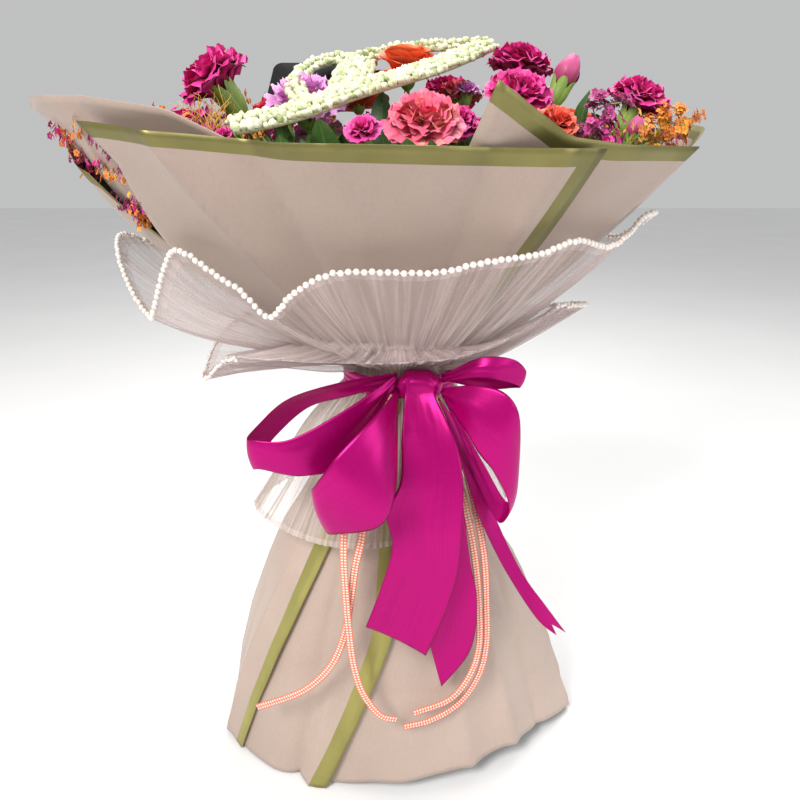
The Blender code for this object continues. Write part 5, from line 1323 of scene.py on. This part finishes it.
def knobble(rng, place):
    """A small lumpy floret."""
    points, faces = SMALL_BALL
    turn = rng.uniform(0, 6.28, 3)
    lumps = 1 + 0.26 * np.sin(3.1 * points[:, 0] + turn[0]) * np.sin(3.4 * points[:, 1] + turn[1]) \
        + 0.16 * np.sin(5 * points[:, 2] + turn[2])
    size = rng.uniform(0.0020, 0.0029)
    tone = rng.uniform(0.15, 1) if rng.uniform() > 0.06 else 0.0
    world = place + points * lumps[:, None] * size * (1, 1, 0.95)
    return world, faces, np.full((len(points), 2), tone)


def card():
    """A blank card with rounded corners and a softened edge."""
    origin = np.array(CARD_CORNER)
    right, down = unit(np.array([1, 0.02, 0.0])), unit(np.array([-0.16, -0.52, -0.80]))
    outline = []
    for cx, cy, start in ((CARD_ROUND, CARD_ROUND, 180), (CARD_W - CARD_ROUND, CARD_ROUND, 270),
                          (CARD_W - CARD_ROUND, CARD_H - CARD_ROUND, 0), (CARD_ROUND, CARD_H - CARD_ROUND, 90)):
        turn = np.radians(start + np.linspace(0, 90, 9))
        outline.append(np.stack([cx + CARD_ROUND * np.cos(turn), cy + CARD_ROUND * np.sin(turn)], -1))
    outline = np.concatenate(outline)
    normal = unit(np.cross(right, down))
    middle = np.array([CARD_W / 2, CARD_H / 2])
    rings = []
    for inset, lift in ((0.0, 0), (0.35, 0.5), (0.990, 0.5), (1.0, 0.3), (1.0, -0.3), (0.990, -0.5), (0.35, -0.5), (0.0, -0.5)):
        flat = middle + (outline - middle) * inset
        sign = 0.5 if inset == 0.0 and lift == 0 else lift
        rings.append(origin + np.outer(flat[:, 0], right) + np.outer(flat[:, 1], down) + normal * CARD_T * sign)
    grid = np.array(rings)
    uv = np.zeros((*grid.shape[:2], 2))
    piece("black_card", (grid.reshape(-1, 3), quads(len(rings), len(outline), True), uv.reshape(-1, 2)),
          LOOKS["card"], ["message_card"])


# Studio


def studio():
    floor = bpy.data.meshes.new("floor")
    floor.from_pydata([(-6, -6, 0), (6, -6, 0), (6, 6, 0), (-6, 6, 0)], [], [(0, 1, 2, 3)])
    floor.materials.append(studio_floor())
    made = bpy.data.objects.new("floor", floor)
    bpy.context.scene.collection.objects.link(made)
    for name, place, aim, size, power, colour in (
            ("key_light", (-0.9, -1.3, 1.7), (0, 0, 0.40), 0.8, 40, (1.0, 0.97, 0.94)),
            ("fill_light", (1.3, -1.0, 0.9), (0, 0, 0.35), 1.1, 9, (0.96, 0.97, 1.0)),
            ("top_light", (0.2, 0.5, 1.9), (0, 0, 0.50), 1.2, 22, (1.0, 0.99, 0.97))):
        light = bpy.data.lights.new(name, "AREA")
        light.shape, light.size, light.energy, light.color = "DISK", size, power, colour
        lamp = bpy.data.objects.new(name, light)
        lamp.location = place
        lamp.rotation_euler = (Vector(aim) - Vector(place)).to_track_quat("-Z", "Y").to_euler()
        bpy.context.scene.collection.objects.link(lamp)
    world = bpy.data.worlds.new("studio")
    world.use_nodes = True
    world.node_tree.nodes["Background"].inputs["Color"].default_value = (0.96, 0.965, 0.97, 1)
    world.node_tree.nodes["Background"].inputs["Strength"].default_value = 0.55
    bpy.context.scene.world = world
    bpy.context.scene.view_settings.view_transform = "Standard"
    view = bpy.data.cameras.new("camera")
    view.lens, view.sensor_width, view.clip_start = CAMERA_LENS, 36, 0.01
    camera = bpy.data.objects.new("camera", view)
    camera.location = CAMERA_PLACE
    camera.rotation_euler = (math.radians(CAMERA_TILT), 0, 0)
    bpy.context.scene.collection.objects.link(camera)
    bpy.context.scene.camera = camera


def main():
    studio()
    for name, plan in UPPER_SHEETS.items():
        paper_sheet(name, wrap_point, WAIST_LOW + 0.001, plan, plan["top"], "wrap", "gold")
    for name, plan in SKIRT_SHEETS.items():
        paper_sheet(name, skirt_point, WAIST_HIGH - 0.002, plan, None, "skirt", "lit_skirt_gold")
    collar_grid = collar()
    rim, inner = collar_grid[-1], collar_grid[-2]
    pearls("collar_pearls", rim + unit(rim - inner) * PEARL_R * 0.9, True, PEARL_R, ["pearl_trim"])
    tier = under_tier()
    pearls("tier_pearls", tier[-1] + unit(tier[-1] - tier[-2]) * 0.0014, False, 0.0016)
    front_tier()
    satin_band()
    flounce("tulle_flounce_net", 0.0, 0.0, 7, ["tulle_flounce"])
    satin_knot()
    for name, edges in RIBBONS.items():
        satin_ribbon(name, edges)
    for name, path in THIN_RIBBONS.items():
        checked_ribbon(name, path)
    heads, cups, twigs = flowers()
    greenery(heads, cups, twigs + fillers())
    garland()
    card()
    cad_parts["binding_tape"].data.materials.clear()
    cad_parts["binding_tape"].data.materials.append(LOOKS["tape"])


main()
